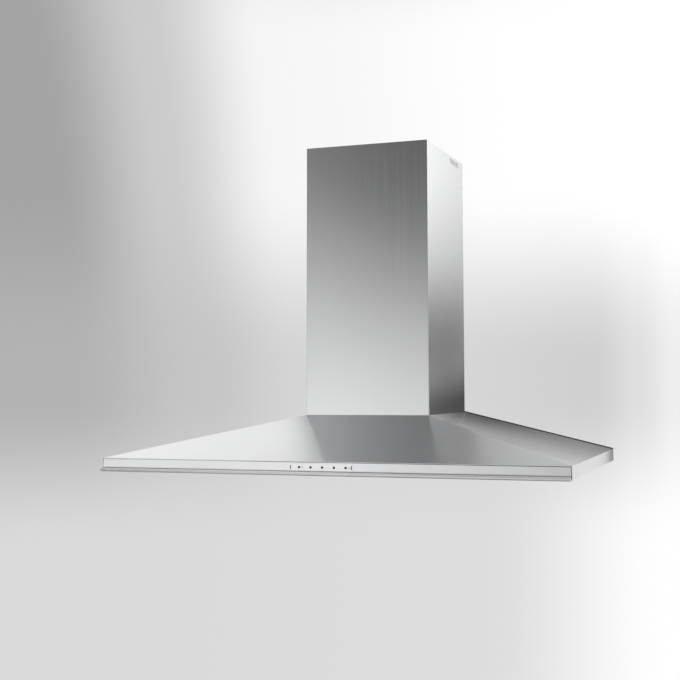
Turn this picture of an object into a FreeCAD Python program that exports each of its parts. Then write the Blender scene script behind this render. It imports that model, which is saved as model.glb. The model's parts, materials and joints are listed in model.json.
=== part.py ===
import FreeCAD, Part
import math
import os
import re
import Sketcher

# Driving sizes in millimetres. X runs along the wall, Y points into the wall, Z is up.
# The wall plane is y = 0 and the lower edge of the hood is z = 0.
SIZES = {
    "canopy_width": 900.0,
    "canopy_depth": 500.0,
    "canopy_height": 100.0,
    "skirt_height": 24.0,
    "skin": 1.0,
    "cut_over": 1.0,
    "return_width": 16.0,
    "return_lift": 2.0,
    "return_front_gap": 2.0,
    "return_rear_gap": 0.4,
    "rear_foot_gap": 1.0,
    "seam_gap": 0.8,
    "panel_gap": 0.2,
    "lip_height": 6.5,
    "lip_reach": 11.0,
    "lip_depth": 13.7,
    "lip_round_share": 0.49,
    "fascia_flange": 12.0,
    "fascia_step": 14.0,
    "pan_edge_gap": 0.5,
    "pan_front": 14.5,
    "pan_border": 15.5,
    "pan_rise": 9.0,
    "pan_rear": 1.5,
    "field_corner": 8.0,
    "front_screw_shift": 1.0,
    "chimney_width": 260.0,
    "chimney_depth": 264.0,
    "chimney_height": 546.0,
    "chimney_flange": 10.0,
    "chimney_bend": 1.6,
    "slide_gap": 1.0,
    "upper_height": 500.0,
    "upper_sink": 2.0,
    "upper_setback": 1.5,
    "vent_width": 5.0,
    "vent_height": 11.0,
    "vent_lean": 5.0,
    "vent_pitch": 16.0,
    "vent_first": 44.0,
    "vent_drop": 11.0,
    "vent_count": 4.0,
    "upper_vent_drop": 44.0,
    "bracket_inset": 20.0,
    "bracket_thick": 1.5,
    "bracket_height": 26.0,
    "bracket_drop": 60.0,
    "bracket_leg": 14.0,
    "bracket_tab": 20.0,
    "bracket_hole": 3.0,
    "bracket_hole_inset": 60.0,
    "box_side_gap": 15.0,
    "box_front_gap": 29.0,
    "box_height": 266.0,
    "box_flange": 9.0,
    "wall_hole": 4.0,
    "wall_hole_inset": 35.0,
    "wall_hole_low": 140.0,
    "wall_hole_rise": 180.0,
    "fan_axis_depth": 124.0,
    "fan_axis_height": 215.0,
    "fan_radius": 75.0,
    "fan_inner": 61.0,
    "fan_end_gap": 10.0,
    "fan_disc": 1.0,
    "fan_ring": 3.0,
    "fan_rim": 3.0,
    "disc_inset": 0.5,
    "blade_thick": 1.0,
    "blade_count": 24.0,
    "blade_sag": 1.2,
    "blade_sweep": 5.0,
    "blade_tip_inset": 0.6,
    "hub_radius": 10.0,
    "hub_half": 8.0,
    "shaft_radius": 4.0,
    "run_gap": 0.06,
    "scroll_side_gap": 39.0,
    "scroll_gap": 9.0,
    "scroll_step": 9.0,
    "scroll_wall": 1.6,
    "scroll_flare": 46.0,
    "inlet_radius": 54.0,
    "motor_radius": 40.0,
    "motor_side_gap": 23.0,
    "motor_end": 12.0,
    "motor_ring": 6.0,
    "motor_arm": 12.0,
    "motor_arm_reach": 70.0,
    "motor_arm_root": 2.0,
    "motor_seat": 0.1,
    "motor_plate": 3.0,
    "motor_bevel": 5.0,
    "shaft_inset": 4.0,
    "shaft_past_hub": 6.0,
    "motor_screw_ring": 64.0,
    "capacitor_radius": 14.0,
    "capacitor_length": 52.0,
    "capacitor_inset": 23.0,
    "capacitor_z": 140.0,
    "duct_radius": 75.0,
    "duct_setback": 92.0,
    "duct_height": 50.0,
    "duct_wall": 1.2,
    "duct_flange": 11.0,
    "duct_mouth": 72.0,
    "flap_lip": 69.0,
    "flap_radius": 72.0,
    "flap_thick": 1.2,
    "spindle_radius": 1.5,
    "knuckle_radius": 2.9,
    "knuckle_gap": 1.0,
    "knuckle_length": 33.0,
    "flap_offset": 2.6,
    "flap_relief": 3.4,
    "flap_tab": 4.0,
    "collar_screw_ring": 81.0,
    "gland_radius": 9.0,
    "gland_inset": 30.0,
    "gland_height": 22.0,
    "gland_nut_share": 1.25,
    "gland_nut_height": 6.6,
    "gland_barrel_share": 0.9,
    "gland_hole_share": 0.4,
    "gland_port_share": 0.7,
    "filter_front": 60.0,
    "filter_bridge": 8.0,
    "lamp_zone": 146.0,
    "filter_thick": 9.0,
    "filter_low": 8.0,
    "filter_rear": 110.0,
    "filter_gap": 1.5,
    "filter_border": 12.0,
    "filter_skin": 1.0,
    "filter_tab_width": 20.0,
    "filter_tab_share": 0.3,
    "filter_tab_reach": 10.0,
    "seat_gap": 0.05,
    "grille_thick": 0.8,
    "grille_columns": 6.0,
    "grille_rows": 10.0,
    "grille_web": 3.0,
    "grille_gap": 0.2,
    "grille_margin": 2.0,
    "core_gap": 0.3,
    "handle_width": 64.0,
    "handle_depth": 10.0,
    "handle_drop": 5.0,
    "handle_inset": 1.0,
    "handle_toe": 1.5,
    "handle_heel": 2.5,
    "handle_wall": 3.0,
    "handle_bend": 1.0,
    "handle_bevel": 1.2,
    "catch_width": 24.0,
    "catch_thick": 0.8,
    "catch_reach": 5.0,
    "catch_tail": 14.0,
    "lamp_inset": 80.0,
    "lamp_share": 0.55,
    "lamp_rim": 33.0,
    "lamp_rim_thick": 2.0,
    "lamp_rim_slope": 1.2,
    "lamp_hole": 29.0,
    "lamp_glass": 28.6,
    "lamp_glass_thick": 3.0,
    "lamp_sight": 25.0,
    "lamp_cup": 32.0,
    "lamp_cup_height": 18.0,
    "lamp_cup_wall": 1.2,
    "bulb_base": 7.0,
    "bulb_base_height": 5.0,
    "bulb_radius": 4.5,
    "bulb_length": 8.0,
    "bulb_tip": 1.5,
    "control_width": 122.0,
    "control_height": 13.0,
    "control_centre": 13.6,
    "control_proud": 0.5,
    "control_lap": 2.0,
    "tongue_gap": 0.2,
    "plate_corner": 1.5,
    "button_radius": 2.1,
    "button_pitch": 22.4,
    "button_shift": 3.0,
    "button_proud": 1.0,
    "button_collar": 3.2,
    "button_flange": 1.2,
    "button_edge": 0.4,
    "button_guide": 0.06,
    "button_travel": 1.5,
    "button_well": 0.2,
    "well_spare": 1.8,
    "button_rest_gap": 0.02,
    "end_slot_width": 1.8,
    "end_slot_height": 7.0,
    "end_slot_x": 58.6,
    "end_slot_share": 0.8,
    "switch_depth": 9.0,
    "block_inset": 1.0,
    "block_half": 5.5,
    "board_inset": 2.0,
    "board_half": 5.0,
    "board_thick": 1.6,
    "card_margin": 8.0,
    "card_port_margin": 30.0,
    "relay_width": 18.0,
    "relay_pitch": 24.0,
    "relay_count": 3.0,
    "relay_share": 0.6,
    "relay_height": 22.0,
    "relay_low": 40.0,
    "choke_width": 34.0,
    "choke_height": 40.0,
    "choke_low": 20.0,
    "box_case_inset": 20.0,
    "box_case_height": 80.0,
    "box_case_depth": 18.0,
    "box_case_low": 180.0,
    "case_wall": 1.6,
    "transformer_length": 110.0,
    "transformer_width": 45.0,
    "transformer_height": 24.0,
    "transformer_bevel": 2.0,
    "transformer_y": 60.0,
    "transformer_inset": 195.0,
    "lead_width": 4.4,
    "lead_thick": 2.4,
    "lead_port": 6.0,
    "lead_standoff": 16.0,
    "lead_end_gap": 0.1,
    "lead_end_reach": 1.0,
    "motor_port_inset": 6.0,
    "lead_level": 2.6,
    "lead_run": 60.0,
    "lead_deck_drop": 20.0,
    "lead_bend": 25.0,
    "lead_lift": 0.3,
    "screw_head": 3.2,
    "screw_head_height": 1.6,
}

doc = FreeCAD.newDocument("hood")
sheet = doc.addObject("Spreadsheet::Sheet", "Sizes")
for row, (size_name, size_value) in enumerate(SIZES.items(), start=1):
    sheet.set(f"A{row}", size_name)
    sheet.set(f"B{row}", str(size_value))
    sheet.setAlias(f"B{row}", size_name)
doc.recompute()

XY, XZ, YZ = "XY_Plane", "XZ_Plane", "YZ_Plane"
nodes = []


def cells(text):
    """Point every size name in an expression at its sheet cell."""
    def link(match):
        word = match.group(0)
        return "Sizes." + word if word in SIZES else word
    return re.sub(r"[a-z_][a-z_0-9]*", link, str(text))


def value(text):
    result = sheet.evalExpression(cells(text))
    return float(getattr(result, "Value", result))


def new_body(label):
    body = doc.addObject("PartDesign::Body", label)
    body.Label = label
    nodes.append(body)
    return body


def origin_of(body, role):
    return next(item for item in body.Origin.OriginFeatures if item.Role == role)


def place(body, x="0", y="0", z="0", axis=None, angle=0.0):
    if axis is not None:
        body.Placement = FreeCAD.Placement(
            FreeCAD.Vector(), FreeCAD.Rotation(FreeCAD.Vector(*axis), angle))
    for letter, text in zip("xyz", (x, y, z)):
        body.setExpression("Placement.Base." + letter, cells(text))


def new_sketch(body, plane, offset="0"):
    sketch = body.newObject("Sketcher::SketchObject", body.Name + "_sketch")
    sketch.AttachmentSupport = [(origin_of(body, plane), "")]
    sketch.MapMode = "FlatFace"
    sketch.setExpression("AttachmentOffset.Base.z", cells(offset))
    return sketch


def pin(sketch, geometry, vertex, x, y):
    """Hold one point of a sketch at sheet-driven coordinates."""
    for kind, text in (("DistanceX", x), ("DistanceY", y)):
        if text is None:
            continue
        constraint = Sketcher.Constraint(kind, -1, 1, geometry, vertex, value(text))
        index = sketch.addConstraint(constraint)
        sketch.setExpression(f"Constraints[{index}]", cells(text))


def point(x, y):
    return FreeCAD.Vector(value(x), value(y), 0)


def outline(sketch, corners):
    first = sketch.GeometryCount
    count = len(corners)
    spots = [point(x, y) for x, y in corners]
    for k in range(count):
        sketch.addGeometry(Part.LineSegment(spots[k], spots[(k + 1) % count]))
    for k in range(count):
        follower = first + (k + 1) % count
        sketch.addConstraint(Sketcher.Constraint("Coincident", first + k, 2, follower, 1))
    for k, (x, y) in enumerate(corners):
        pin(sketch, first + k, 1, x, y)


def rectangle(sketch, x0, y0, x1, y1):
    outline(sketch, [(x0, y0), (x1, y0), (x1, y1), (x0, y1)])


def circle(sketch, x, y, radius):
    ring = Part.Circle(point(x, y), FreeCAD.Vector(0, 0, 1), value(radius))
    index = sketch.addGeometry(ring)
    pin(sketch, index, 3, x, y)
    held = sketch.addConstraint(Sketcher.Constraint("Radius", index, value(radius)))
    sketch.setExpression(f"Constraints[{held}]", cells(radius))


def pad(body, sketch, length, back=False, both=False):
    feature = body.newObject("PartDesign::Pad", body.Name + "_pad")
    feature.Profile = sketch
    feature.setExpression("Length", cells(length))
    feature.Reversed = back
    if both:
        feature.SideType = "Symmetric"
    doc.recompute()
    return feature


def pocket(body, sketch, length=None, back=False):
    """Cut to a length, or through everything both ways when no length is given."""
    feature = body.newObject("PartDesign::Pocket", body.Name + "_pocket")
    feature.Profile = sketch
    if length is None:
        feature.Type = "ThroughAll"
        feature.SideType = "Symmetric"
    else:
        feature.setExpression("Length", cells(length))
        feature.Reversed = back
    doc.recompute()
    return feature


def revolve(body, corners, cut=False, plane=XZ, axis="Z_Axis"):
    sketch = new_sketch(body, plane)
    outline(sketch, corners)
    kind = "PartDesign::Groove" if cut else "PartDesign::Revolution"
    feature = body.newObject(kind, body.Name + "_turn")
    feature.Profile = sketch
    feature.ReferenceAxis = (origin_of(body, axis), [""])
    feature.Angle = 360.0
    doc.recompute()
    return feature


def edges_where(shape, test):
    return [f"Edge{k + 1}" for k, edge in enumerate(shape.Edges) if test(edge)]


def soften(body, test, radius, kind="PartDesign::Fillet"):
    base = body.Tip
    names = edges_where(base.Shape, test)
    feature = body.newObject(kind, body.Name + "_edge")
    feature.Base = (base, names)
    feature.setExpression("Radius" if kind.endswith("Fillet") else "Size", cells(radius))
    doc.recompute()
    return feature


def is_line_along(edge, axis):
    if edge.Curve.TypeId != "Part::GeomLine":
        return False
    direction = edge.Curve.Direction
    return abs(getattr(direction, axis)) > 0.999


def screws(label, plane, level, spots, outward):
    """Hexagon heads of equal screws, seated on a level and standing off it."""
    body = new_body(label)
    heads = new_sketch(body, plane, level)
    for x, y in spots:
        outline(heads, hexagon(x, y, "screw_head"))
    pad(body, heads, "screw_head_height", back=outward < 0)
    return body


def hexagon(x, y, radius):
    turns = [math.pi*k/3 for k in range(6)]
    spokes = [(math.cos(turn), math.sin(turn)) for turn in turns]
    return [(f"{x} + {radius}*{along:.5f}", f"{y} + {radius}*{aside:.5f}") for along, aside in spokes]


def mirrored(corners):
    return [(f"-({x})", y) for x, y in reversed(corners)]


def lead(label, corners, flat):
    """A flat twin lead: straight runs joined by arcs, its width lying along flat at the start."""
    spots = [FreeCAD.Vector(*[value(text) for text in corner]) for corner in corners]
    bend = value("lead_bend")
    edges = []
    start = spots[0]
    for before, here, after in zip(spots, spots[1:], spots[2:]):
        back = (before - here).normalize()
        ahead = (after - here).normalize()
        half = back.getAngle(ahead)/2.0
        cut = bend/math.tan(half)
        middle = (back + ahead).normalize()*(bend/math.sin(half) - bend)
        arc_start = here + back*cut
        arc_end = here + ahead*cut
        edges.append(Part.LineSegment(start, arc_start).toShape())
        edges.append(Part.Arc(arc_start, here + middle, arc_end).toShape())
        start = arc_end
    edges.append(Part.LineSegment(start, spots[-1]).toShape())
    wide = FreeCAD.Vector(*flat)*(value("lead_width")/2)
    thin = (spots[1] - spots[0]).normalize().cross(FreeCAD.Vector(*flat))*(value("lead_thick")/2)
    ring = [spots[0] + wide*a + thin*b for a, b in ((-1, -1), (1, -1), (1, 1), (-1, 1), (-1, -1))]
    feature = doc.addObject("Part::Feature", label)
    feature.Label = label
    feature.Shape = Part.Wire(edges).makePipeShell([Part.makePolygon(ring)], True, False)
    nodes.append(feature)
    return feature


BOX_WIDTH = "(chimney_width - 2*box_side_gap)"
BOX_DEPTH = "(chimney_depth - box_front_gap)"
BRACKET_HALF = "(chimney_width/2 - bracket_inset)"
BRACKET_HOLE_X = "(chimney_width/2 - bracket_hole_inset)"
WALL_HOLE_X = f"({BOX_WIDTH}/2 - wall_hole_inset)"
SCROLL_HALF = f"({BOX_WIDTH}/2 - scroll_side_gap)"
FAN_HALF = f"({SCROLL_HALF} - fan_end_gap)"
MOTOR_START = f"({BOX_WIDTH}/2 - motor_side_gap)"
CAPACITOR_X = f"({BOX_WIDTH}/2 - capacitor_inset)"
GLAND_X = f"({BOX_WIDTH}/2 - gland_inset)"
GLAND_Y = f"({BOX_DEPTH} - gland_inset)"
CASE_WIDTH = f"({BOX_WIDTH} - 2*box_case_inset)"
HALF_W = "canopy_width/2"
RISE = "(canopy_height - skirt_height)"
SIDE_RUN = "((canopy_width - chimney_width)/2)"
FRONT_RUN = "(canopy_depth - chimney_depth)"
SIDE_TAN = f"({RISE}/{SIDE_RUN})"
FRONT_TAN = f"({RISE}/{FRONT_RUN})"
SIDE_DROP = f"(skin*sqrt(1 + {SIDE_TAN}^2))"
FRONT_DROP = f"(skin*sqrt(1 + {FRONT_TAN}^2))"
INNER_FOOT = f"(skirt_height + skin*{SIDE_TAN} - {SIDE_DROP})"
DECK_UNDER = "(canopy_height - skin)"
INNER_TOP_X = f"(canopy_width/2 - ({DECK_UNDER} - skirt_height + {SIDE_DROP})/{SIDE_TAN})"
INNER_TOP_Y = f"(canopy_depth - ({DECK_UNDER} - skirt_height + {FRONT_DROP})/{FRONT_TAN})"

PAN_UNDER = "(return_lift + skin)"
PAN_TOP = f"({PAN_UNDER} + skin + pan_rise)"
PAN_FRONT = "(canopy_depth - pan_front)"
PAN_SIDE = "(canopy_width/2 - skin - pan_edge_gap)"
SCREW_SIDE = "(canopy_width/2 - skin - return_width/2)"
SCREW_FRONT = "(canopy_depth - pan_front - pan_border/2 + front_screw_shift)"
SCREW_REAR = "(pan_rear + pan_border/2)"
DEPTH_SHARES = (0.2, 0.5, 0.8)
WIDTH_SHARES = (-0.3, 0, 0.3)
SIDE_SCREWS = [
    (f"{way}*{SCREW_SIDE}", f"-canopy_depth*{share}") for way in (-1, 1) for share in DEPTH_SHARES]
REAR_SCREWS = [(f"canopy_width*{share}", f"-{SCREW_REAR}") for share in WIDTH_SHARES]
FRONT_SCREWS = [(f"canopy_width*{share}", f"-{SCREW_FRONT}") for share in WIDTH_SHARES]
FILTER_WIDTH = "(canopy_width/2 - lamp_zone - filter_bridge)"
FILTER_CENTRE = f"(filter_bridge + {FILTER_WIDTH}/2)"
FILTER_FRONT = "(canopy_depth - filter_front)"
LAMP_X = "(canopy_width/2 - lamp_inset)"
LAMP_Y = "(canopy_depth*lamp_share)"
TRANSFORMER_X = "(canopy_width/2 - transformer_inset)"
SWITCH_Y = f"({BOX_DEPTH} + lead_standoff)"
MOTOR_PORT_X = f"({MOTOR_START} - motor_port_inset)"

BOX_TOP = "(canopy_height + box_height)"
BOX_DEPTH_SHARES = (0.25, 0.75)
BOX_FRONT_SHARES = (-0.3, 0.3)
BOX_SCREWS = [
    (f"{way}*({BOX_WIDTH}/2 + box_flange/2)", f"-{BOX_DEPTH}*{share}")
    for way in (-1, 1) for share in BOX_DEPTH_SHARES
] + [(f"{BOX_WIDTH}*{share}", f"-({BOX_DEPTH} + box_flange/2)") for share in BOX_FRONT_SHARES]
DIAGONAL = "(collar_screw_ring*sqrt(0.5))"
COLLAR_SCREWS = [
    (f"{way}*{DIAGONAL}", f"-duct_setback + {aside}*{DIAGONAL}") for way in (-1, 1) for aside in (-1, 1)
]

# Canopy skin: a side-to-side folded sheet and a front sheet, trimmed to meet on the hip edges.
canopy = new_body("canopy_shell")
right_outer = [
    (f"{HALF_W} - skin", "0"), (HALF_W, "0"), (HALF_W, "skirt_height"), ("chimney_width/2", "canopy_height")]
right_inner = [(INNER_TOP_X, DECK_UNDER), (f"{HALF_W} - skin", INNER_FOOT)]
across = new_sketch(canopy, XZ)
outline(across, right_outer + mirrored(right_outer) + mirrored(right_inner) + right_inner)
pad(canopy, across, "canopy_depth")
over_front = new_sketch(canopy, YZ)
outline(over_front, [
    ("-canopy_depth", "skirt_height"), ("-chimney_depth", "canopy_height"),
    ("-chimney_depth", "canopy_height + skin"), ("-(canopy_depth + skin)", "canopy_height + skin"),
    ("-(canopy_depth + skin)", "skirt_height")])
pocket(canopy, over_front)
front_sheet = new_sketch(canopy, YZ, f"-{HALF_W}")
outline(front_sheet, [
    ("-canopy_depth", "skirt_height"), ("-chimney_depth", "canopy_height"),
    (f"-{INNER_TOP_Y}", DECK_UNDER), ("-canopy_depth", f"skirt_height - {FRONT_DROP}")])
pad(canopy, front_sheet, "canopy_width")
over_side = [
    (HALF_W, "skirt_height"), ("chimney_width/2", "canopy_height"),
    ("chimney_width/2", "canopy_height + skin"), (f"{HALF_W} + skin", "canopy_height + skin"),
    (f"{HALF_W} + skin", "skirt_height")]
over_sides = new_sketch(canopy, XZ)
outline(over_sides, over_side)
outline(over_sides, mirrored(over_side))
pocket(canopy, over_sides)
returns = new_sketch(canopy, XY, "return_lift")
for side in (-1, 1):
    rectangle(returns, f"{side}*({HALF_W} - skin/2)", "-(canopy_depth - fascia_step - return_front_gap)",
              f"{side}*({HALF_W} - skin - return_width)", "-(skin + return_rear_gap)")
pad(canopy, returns, "skin")
deck_opening = new_sketch(canopy, XY, "canopy_height + cut_over")
BOX_INSIDE_X = f"({BOX_WIDTH}/2 - skin)"
BOX_INSIDE_Y = f"({BOX_DEPTH} - skin)"
rectangle(deck_opening, f"-{BOX_INSIDE_X}", f"-{BOX_INSIDE_Y}", BOX_INSIDE_X, "skin")
rectangle(deck_opening, "-lead_port", f"-({SWITCH_Y} + lead_port)", "lead_port",
          f"-({SWITCH_Y} - lead_port)")
pocket(canopy, deck_opening, "skin*3")

# Rear panel: a trapezoid behind the slopes with a flange that carries the pan.
rear = new_body("rear_panel")
rear_face = new_sketch(rear, XZ)
REAR_TOP = f"({DECK_UNDER} - panel_gap)"
REAR_X = f"({HALF_W} - skin - panel_gap)"
outline(rear_face, [
    (f"-{REAR_X}", "0"), (REAR_X, "0"), (REAR_X, f"{INNER_FOOT} - panel_gap"),
    (f"{INNER_TOP_X} - panel_gap", REAR_TOP), (f"-({INNER_TOP_X} - panel_gap)", REAR_TOP),
    (f"-{REAR_X}", f"{INNER_FOOT} - panel_gap")])
pad(rear, rear_face, "skin")
rear_foot = new_sketch(rear, XY, "return_lift")
rectangle(rear_foot, f"-({HALF_W} - skin - return_width - rear_foot_gap)", "-(pan_rear + pan_border)",
          f"{HALF_W} - skin - return_width - rear_foot_gap", "-skin/2")
pad(rear, rear_foot, "skin")

# Fascia: a folded profile drawn once and padded along the front.
FASCIA_HALF = f"({HALF_W} - skin - seam_gap)"
FASCIA_TOP = f"(skirt_height - {FRONT_DROP} - seam_gap)"
FASCIA_STEP_Y = "(canopy_depth - fascia_step)"
fascia = new_body("front_fascia")
fold = new_sketch(fascia, YZ, f"-{FASCIA_HALF}")
outline(fold, [
    ("-canopy_depth", "lip_height"), ("-canopy_depth", FASCIA_TOP),
    ("-(canopy_depth - fascia_flange)", FASCIA_TOP),
    ("-(canopy_depth - fascia_flange)", f"{FASCIA_TOP} - skin"),
    ("-(canopy_depth - skin)", f"{FASCIA_TOP} - skin"),
    ("-(canopy_depth - skin)", "lip_height + skin"),
    (f"-({FASCIA_STEP_Y} - skin)", "lip_height + skin"),
    (f"-({FASCIA_STEP_Y} - skin)", f"{PAN_UNDER} + 2*skin"),
    (f"-({FASCIA_STEP_Y} - fascia_step)", f"{PAN_UNDER} + 2*skin"),
    (f"-({FASCIA_STEP_Y} - fascia_step)", f"{PAN_UNDER} + skin"),
    (f"-{FASCIA_STEP_Y}", f"{PAN_UNDER} + skin"), (f"-{FASCIA_STEP_Y}", "lip_height")])
pad(fascia, fold, f"2*{FASCIA_HALF}")
window = new_sketch(fascia, XZ, "canopy_depth + cut_over")
WINDOW_X = "(control_width/2 - control_lap)"
WINDOW_Z = "(control_height/2 - control_lap)"
rectangle(window, f"-{WINDOW_X}", f"control_centre - {WINDOW_Z}", WINDOW_X, f"control_centre + {WINDOW_Z}")
pocket(fascia, window, "skin + 2*cut_over")

# Lip: a flat-backed strip whose front edge is a half round.
lip = new_body("front_lip")
lip_face = new_sketch(lip, YZ, f"-{FASCIA_HALF}")
LIP_FRONT = "(canopy_depth + lip_reach)"
LIP_REAR = "(canopy_depth - lip_depth)"
rectangle(lip_face, f"-{LIP_FRONT}", "0", f"-{LIP_REAR}", "lip_height")
pad(lip, lip_face, f"2*{FASCIA_HALF}")


def on_lip_front(edge):
    return is_line_along(edge, "x") and abs(edge.BoundBox.YMin + value(LIP_FRONT)) < 0.01


soften(lip, on_lip_front, "lip_height*lip_round_share")

# Bottom pan: a border, a raised field, two filter openings and two lamp holes.
FIELD_X = f"({PAN_SIDE} - pan_border)"
FIELD_FRONT = f"({PAN_FRONT} - pan_border)"
FIELD_REAR = "(pan_rear + pan_border)"
pan = new_body("bottom_pan")
border = new_sketch(pan, XY, PAN_UNDER)
rectangle(border, f"-{PAN_SIDE}", f"-{PAN_FRONT}", PAN_SIDE, "-pan_rear")
pad(pan, border, "skin")
field = new_sketch(pan, XY, f"{PAN_UNDER} + skin")
rectangle(field, f"-{FIELD_X}", f"-{FIELD_FRONT}", FIELD_X, f"-{FIELD_REAR}")
pad(pan, field, "pan_rise")


def is_field_corner(edge):
    tall = edge.BoundBox.ZLength > value("pan_rise")*0.9
    inner = abs(edge.BoundBox.XMin) < value(PAN_SIDE) - 1
    return is_line_along(edge, "z") and tall and inner


soften(pan, is_field_corner, "field_corner")
dish = new_sketch(pan, XY, PAN_UNDER)
rectangle(dish, f"-({FIELD_X} - skin)", f"-({FIELD_FRONT} - skin)", f"{FIELD_X} - skin",
          f"-({FIELD_REAR} + skin)")
pocket(pan, dish, "pan_rise", back=True)
openings = new_sketch(pan, XY, f"{PAN_TOP} + cut_over")
for side in (-1, 1):
    rectangle(openings, f"{side}*({FILTER_CENTRE} - {FILTER_WIDTH}/2 - filter_gap)",
              f"-({FILTER_FRONT} + filter_gap)",
              f"{side}*({FILTER_CENTRE} + {FILTER_WIDTH}/2 + filter_gap)", "-(filter_rear - filter_gap)")
    circle(openings, f"{side}*{LAMP_X}", f"-{LAMP_Y}", "lamp_hole")
pocket(pan, openings, "skin*3")
screws("pan_screws", XY, "return_lift", SIDE_SCREWS + REAR_SCREWS, -1)
screws("fascia_screws", XY, PAN_UNDER, FRONT_SCREWS, -1)


# Chimney sections: folded profiles with rear flanges, slotted near the top of both sides.
def chimney(label, half, front, rear_line, low, height, vent_level):
    body = new_body(label)
    profile = new_sketch(body, XY, low)
    flange = "chimney_flange"
    outline(profile, [
        (f"-({half} - {flange})", f"-{rear_line}"), (f"-{half}", f"-{rear_line}"),
        (f"-{half}", f"-{front}"), (half, f"-{front}"), (half, f"-{rear_line}"),
        (f"{half} - {flange}", f"-{rear_line}"), (f"{half} - {flange}", f"-({rear_line} + skin)"),
        (f"{half} - skin", f"-({rear_line} + skin)"), (f"{half} - skin", f"-({front} - skin)"),
        (f"-({half} - skin)", f"-({front} - skin)"), (f"-({half} - skin)", f"-({rear_line} + skin)"),
        (f"-({half} - {flange})", f"-({rear_line} + skin)")])
    pad(body, profile, height)

    def is_front_bend(edge):
        return is_line_along(edge, "z") and abs(edge.BoundBox.YMin + value(front)) < 0.01

    def is_inner_bend(edge):
        return is_line_along(edge, "z") and abs(edge.BoundBox.YMin + value(front) - value("skin")) < 0.01

    soften(body, is_front_bend, "chimney_bend")
    soften(body, is_inner_bend, "chimney_bend - skin")
    vents = new_sketch(body, YZ)
    for k in range(int(value("vent_count"))):
        y = f"-(vent_first + {k}*vent_pitch)"
        outline(vents, [
            (f"{y} - vent_width/2 - vent_lean/2", f"{vent_level} + vent_height/2"),
            (f"{y} + vent_width/2 - vent_lean/2", f"{vent_level} + vent_height/2"),
            (f"{y} + vent_width/2 + vent_lean/2", f"{vent_level} - vent_height/2"),
            (f"{y} - vent_width/2 + vent_lean/2", f"{vent_level} - vent_height/2")])
    pocket(body, vents)
    return body


CHIMNEY_TOP = "(canopy_height + chimney_height)"
chimney("lower_chimney", "chimney_width/2", "chimney_depth", "0", "canopy_height", "chimney_height",
        f"({CHIMNEY_TOP} - vent_drop)")
UPPER_HALF = "(chimney_width/2 - skin - slide_gap)"
UPPER_TOP = f"({CHIMNEY_TOP} - upper_sink)"
chimney("upper_chimney", UPPER_HALF, "(chimney_depth - skin - slide_gap)", "upper_setback",
        f"{UPPER_TOP} - upper_height", "upper_height", f"({UPPER_TOP} - upper_vent_drop)")

bracket = new_body("chimney_bracket")
strip = new_sketch(bracket, XY, f"{UPPER_TOP} - bracket_drop")
TAB_X = f"({UPPER_HALF} - skin)"
half_strip = [
    (BRACKET_HALF, "0"), (BRACKET_HALF, "-bracket_leg"), (TAB_X, "-bracket_leg"),
    (TAB_X, "-(bracket_leg + bracket_tab)"),
    (f"{TAB_X} - bracket_thick", "-(bracket_leg + bracket_tab)"),
    (f"{TAB_X} - bracket_thick", "-(bracket_leg + bracket_thick)"),
    (f"{BRACKET_HALF} - bracket_thick", "-(bracket_leg + bracket_thick)"),
    (f"{BRACKET_HALF} - bracket_thick", "-bracket_thick")]
outline(strip, half_strip + mirrored(half_strip))
pad(bracket, strip, "bracket_height")
bracket_holes = new_sketch(bracket, XZ)
for side in (-1, 1):
    circle(bracket_holes, f"{side}*{BRACKET_HOLE_X}", f"{UPPER_TOP} - bracket_drop + bracket_height/2",
           "bracket_hole")
pocket(bracket, bracket_holes, "bracket_thick*2", back=True)

# Air box: an open-bottomed case on the canopy deck that carries the blower.
air_box = new_body("air_box")
case = new_sketch(air_box, XY, "canopy_height")
rectangle(case, f"-{BOX_WIDTH}/2", f"-{BOX_DEPTH}", f"{BOX_WIDTH}/2", "0")
pad(air_box, case, "box_height")
flange = new_sketch(air_box, XY, "canopy_height")
rectangle(flange, f"-({BOX_WIDTH}/2 + box_flange)", f"-({BOX_DEPTH} + box_flange)",
          f"{BOX_WIDTH}/2 + box_flange", "-upper_setback - skin*2")
pad(air_box, flange, "skin")
cavity = new_sketch(air_box, XY, "canopy_height")
rectangle(cavity, f"-{BOX_INSIDE_X}", f"-{BOX_INSIDE_Y}", BOX_INSIDE_X, "-skin")
pocket(air_box, cavity, "box_height - skin", back=True)
outlet = new_sketch(air_box, XY, f"{BOX_TOP} + cut_over")
circle(outlet, "0", "-duct_setback", "duct_mouth")
circle(outlet, GLAND_X, f"-{GLAND_Y}", "gland_radius*gland_port_share")
pocket(air_box, outlet, "skin*3")
wall_holes = new_sketch(air_box, XZ)
for side in (-1, 1):
    for level in ("wall_hole_low", "wall_hole_low + wall_hole_rise"):
        circle(wall_holes, f"{side}*{WALL_HOLE_X}", level, "wall_hole")
pocket(air_box, wall_holes, "skin*2", back=True)
front_hole = new_sketch(air_box, XZ, f"{BOX_DEPTH} + cut_over")
rectangle(front_hole, f"-({MOTOR_PORT_X} + lead_port)", "fan_axis_height - lead_port",
          f"-({MOTOR_PORT_X} - lead_port)", "fan_axis_height + lead_port")
pocket(air_box, front_hole, "skin*3")
screws("air_box_screws", XY, "canopy_height + skin", BOX_SCREWS, 1)


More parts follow.
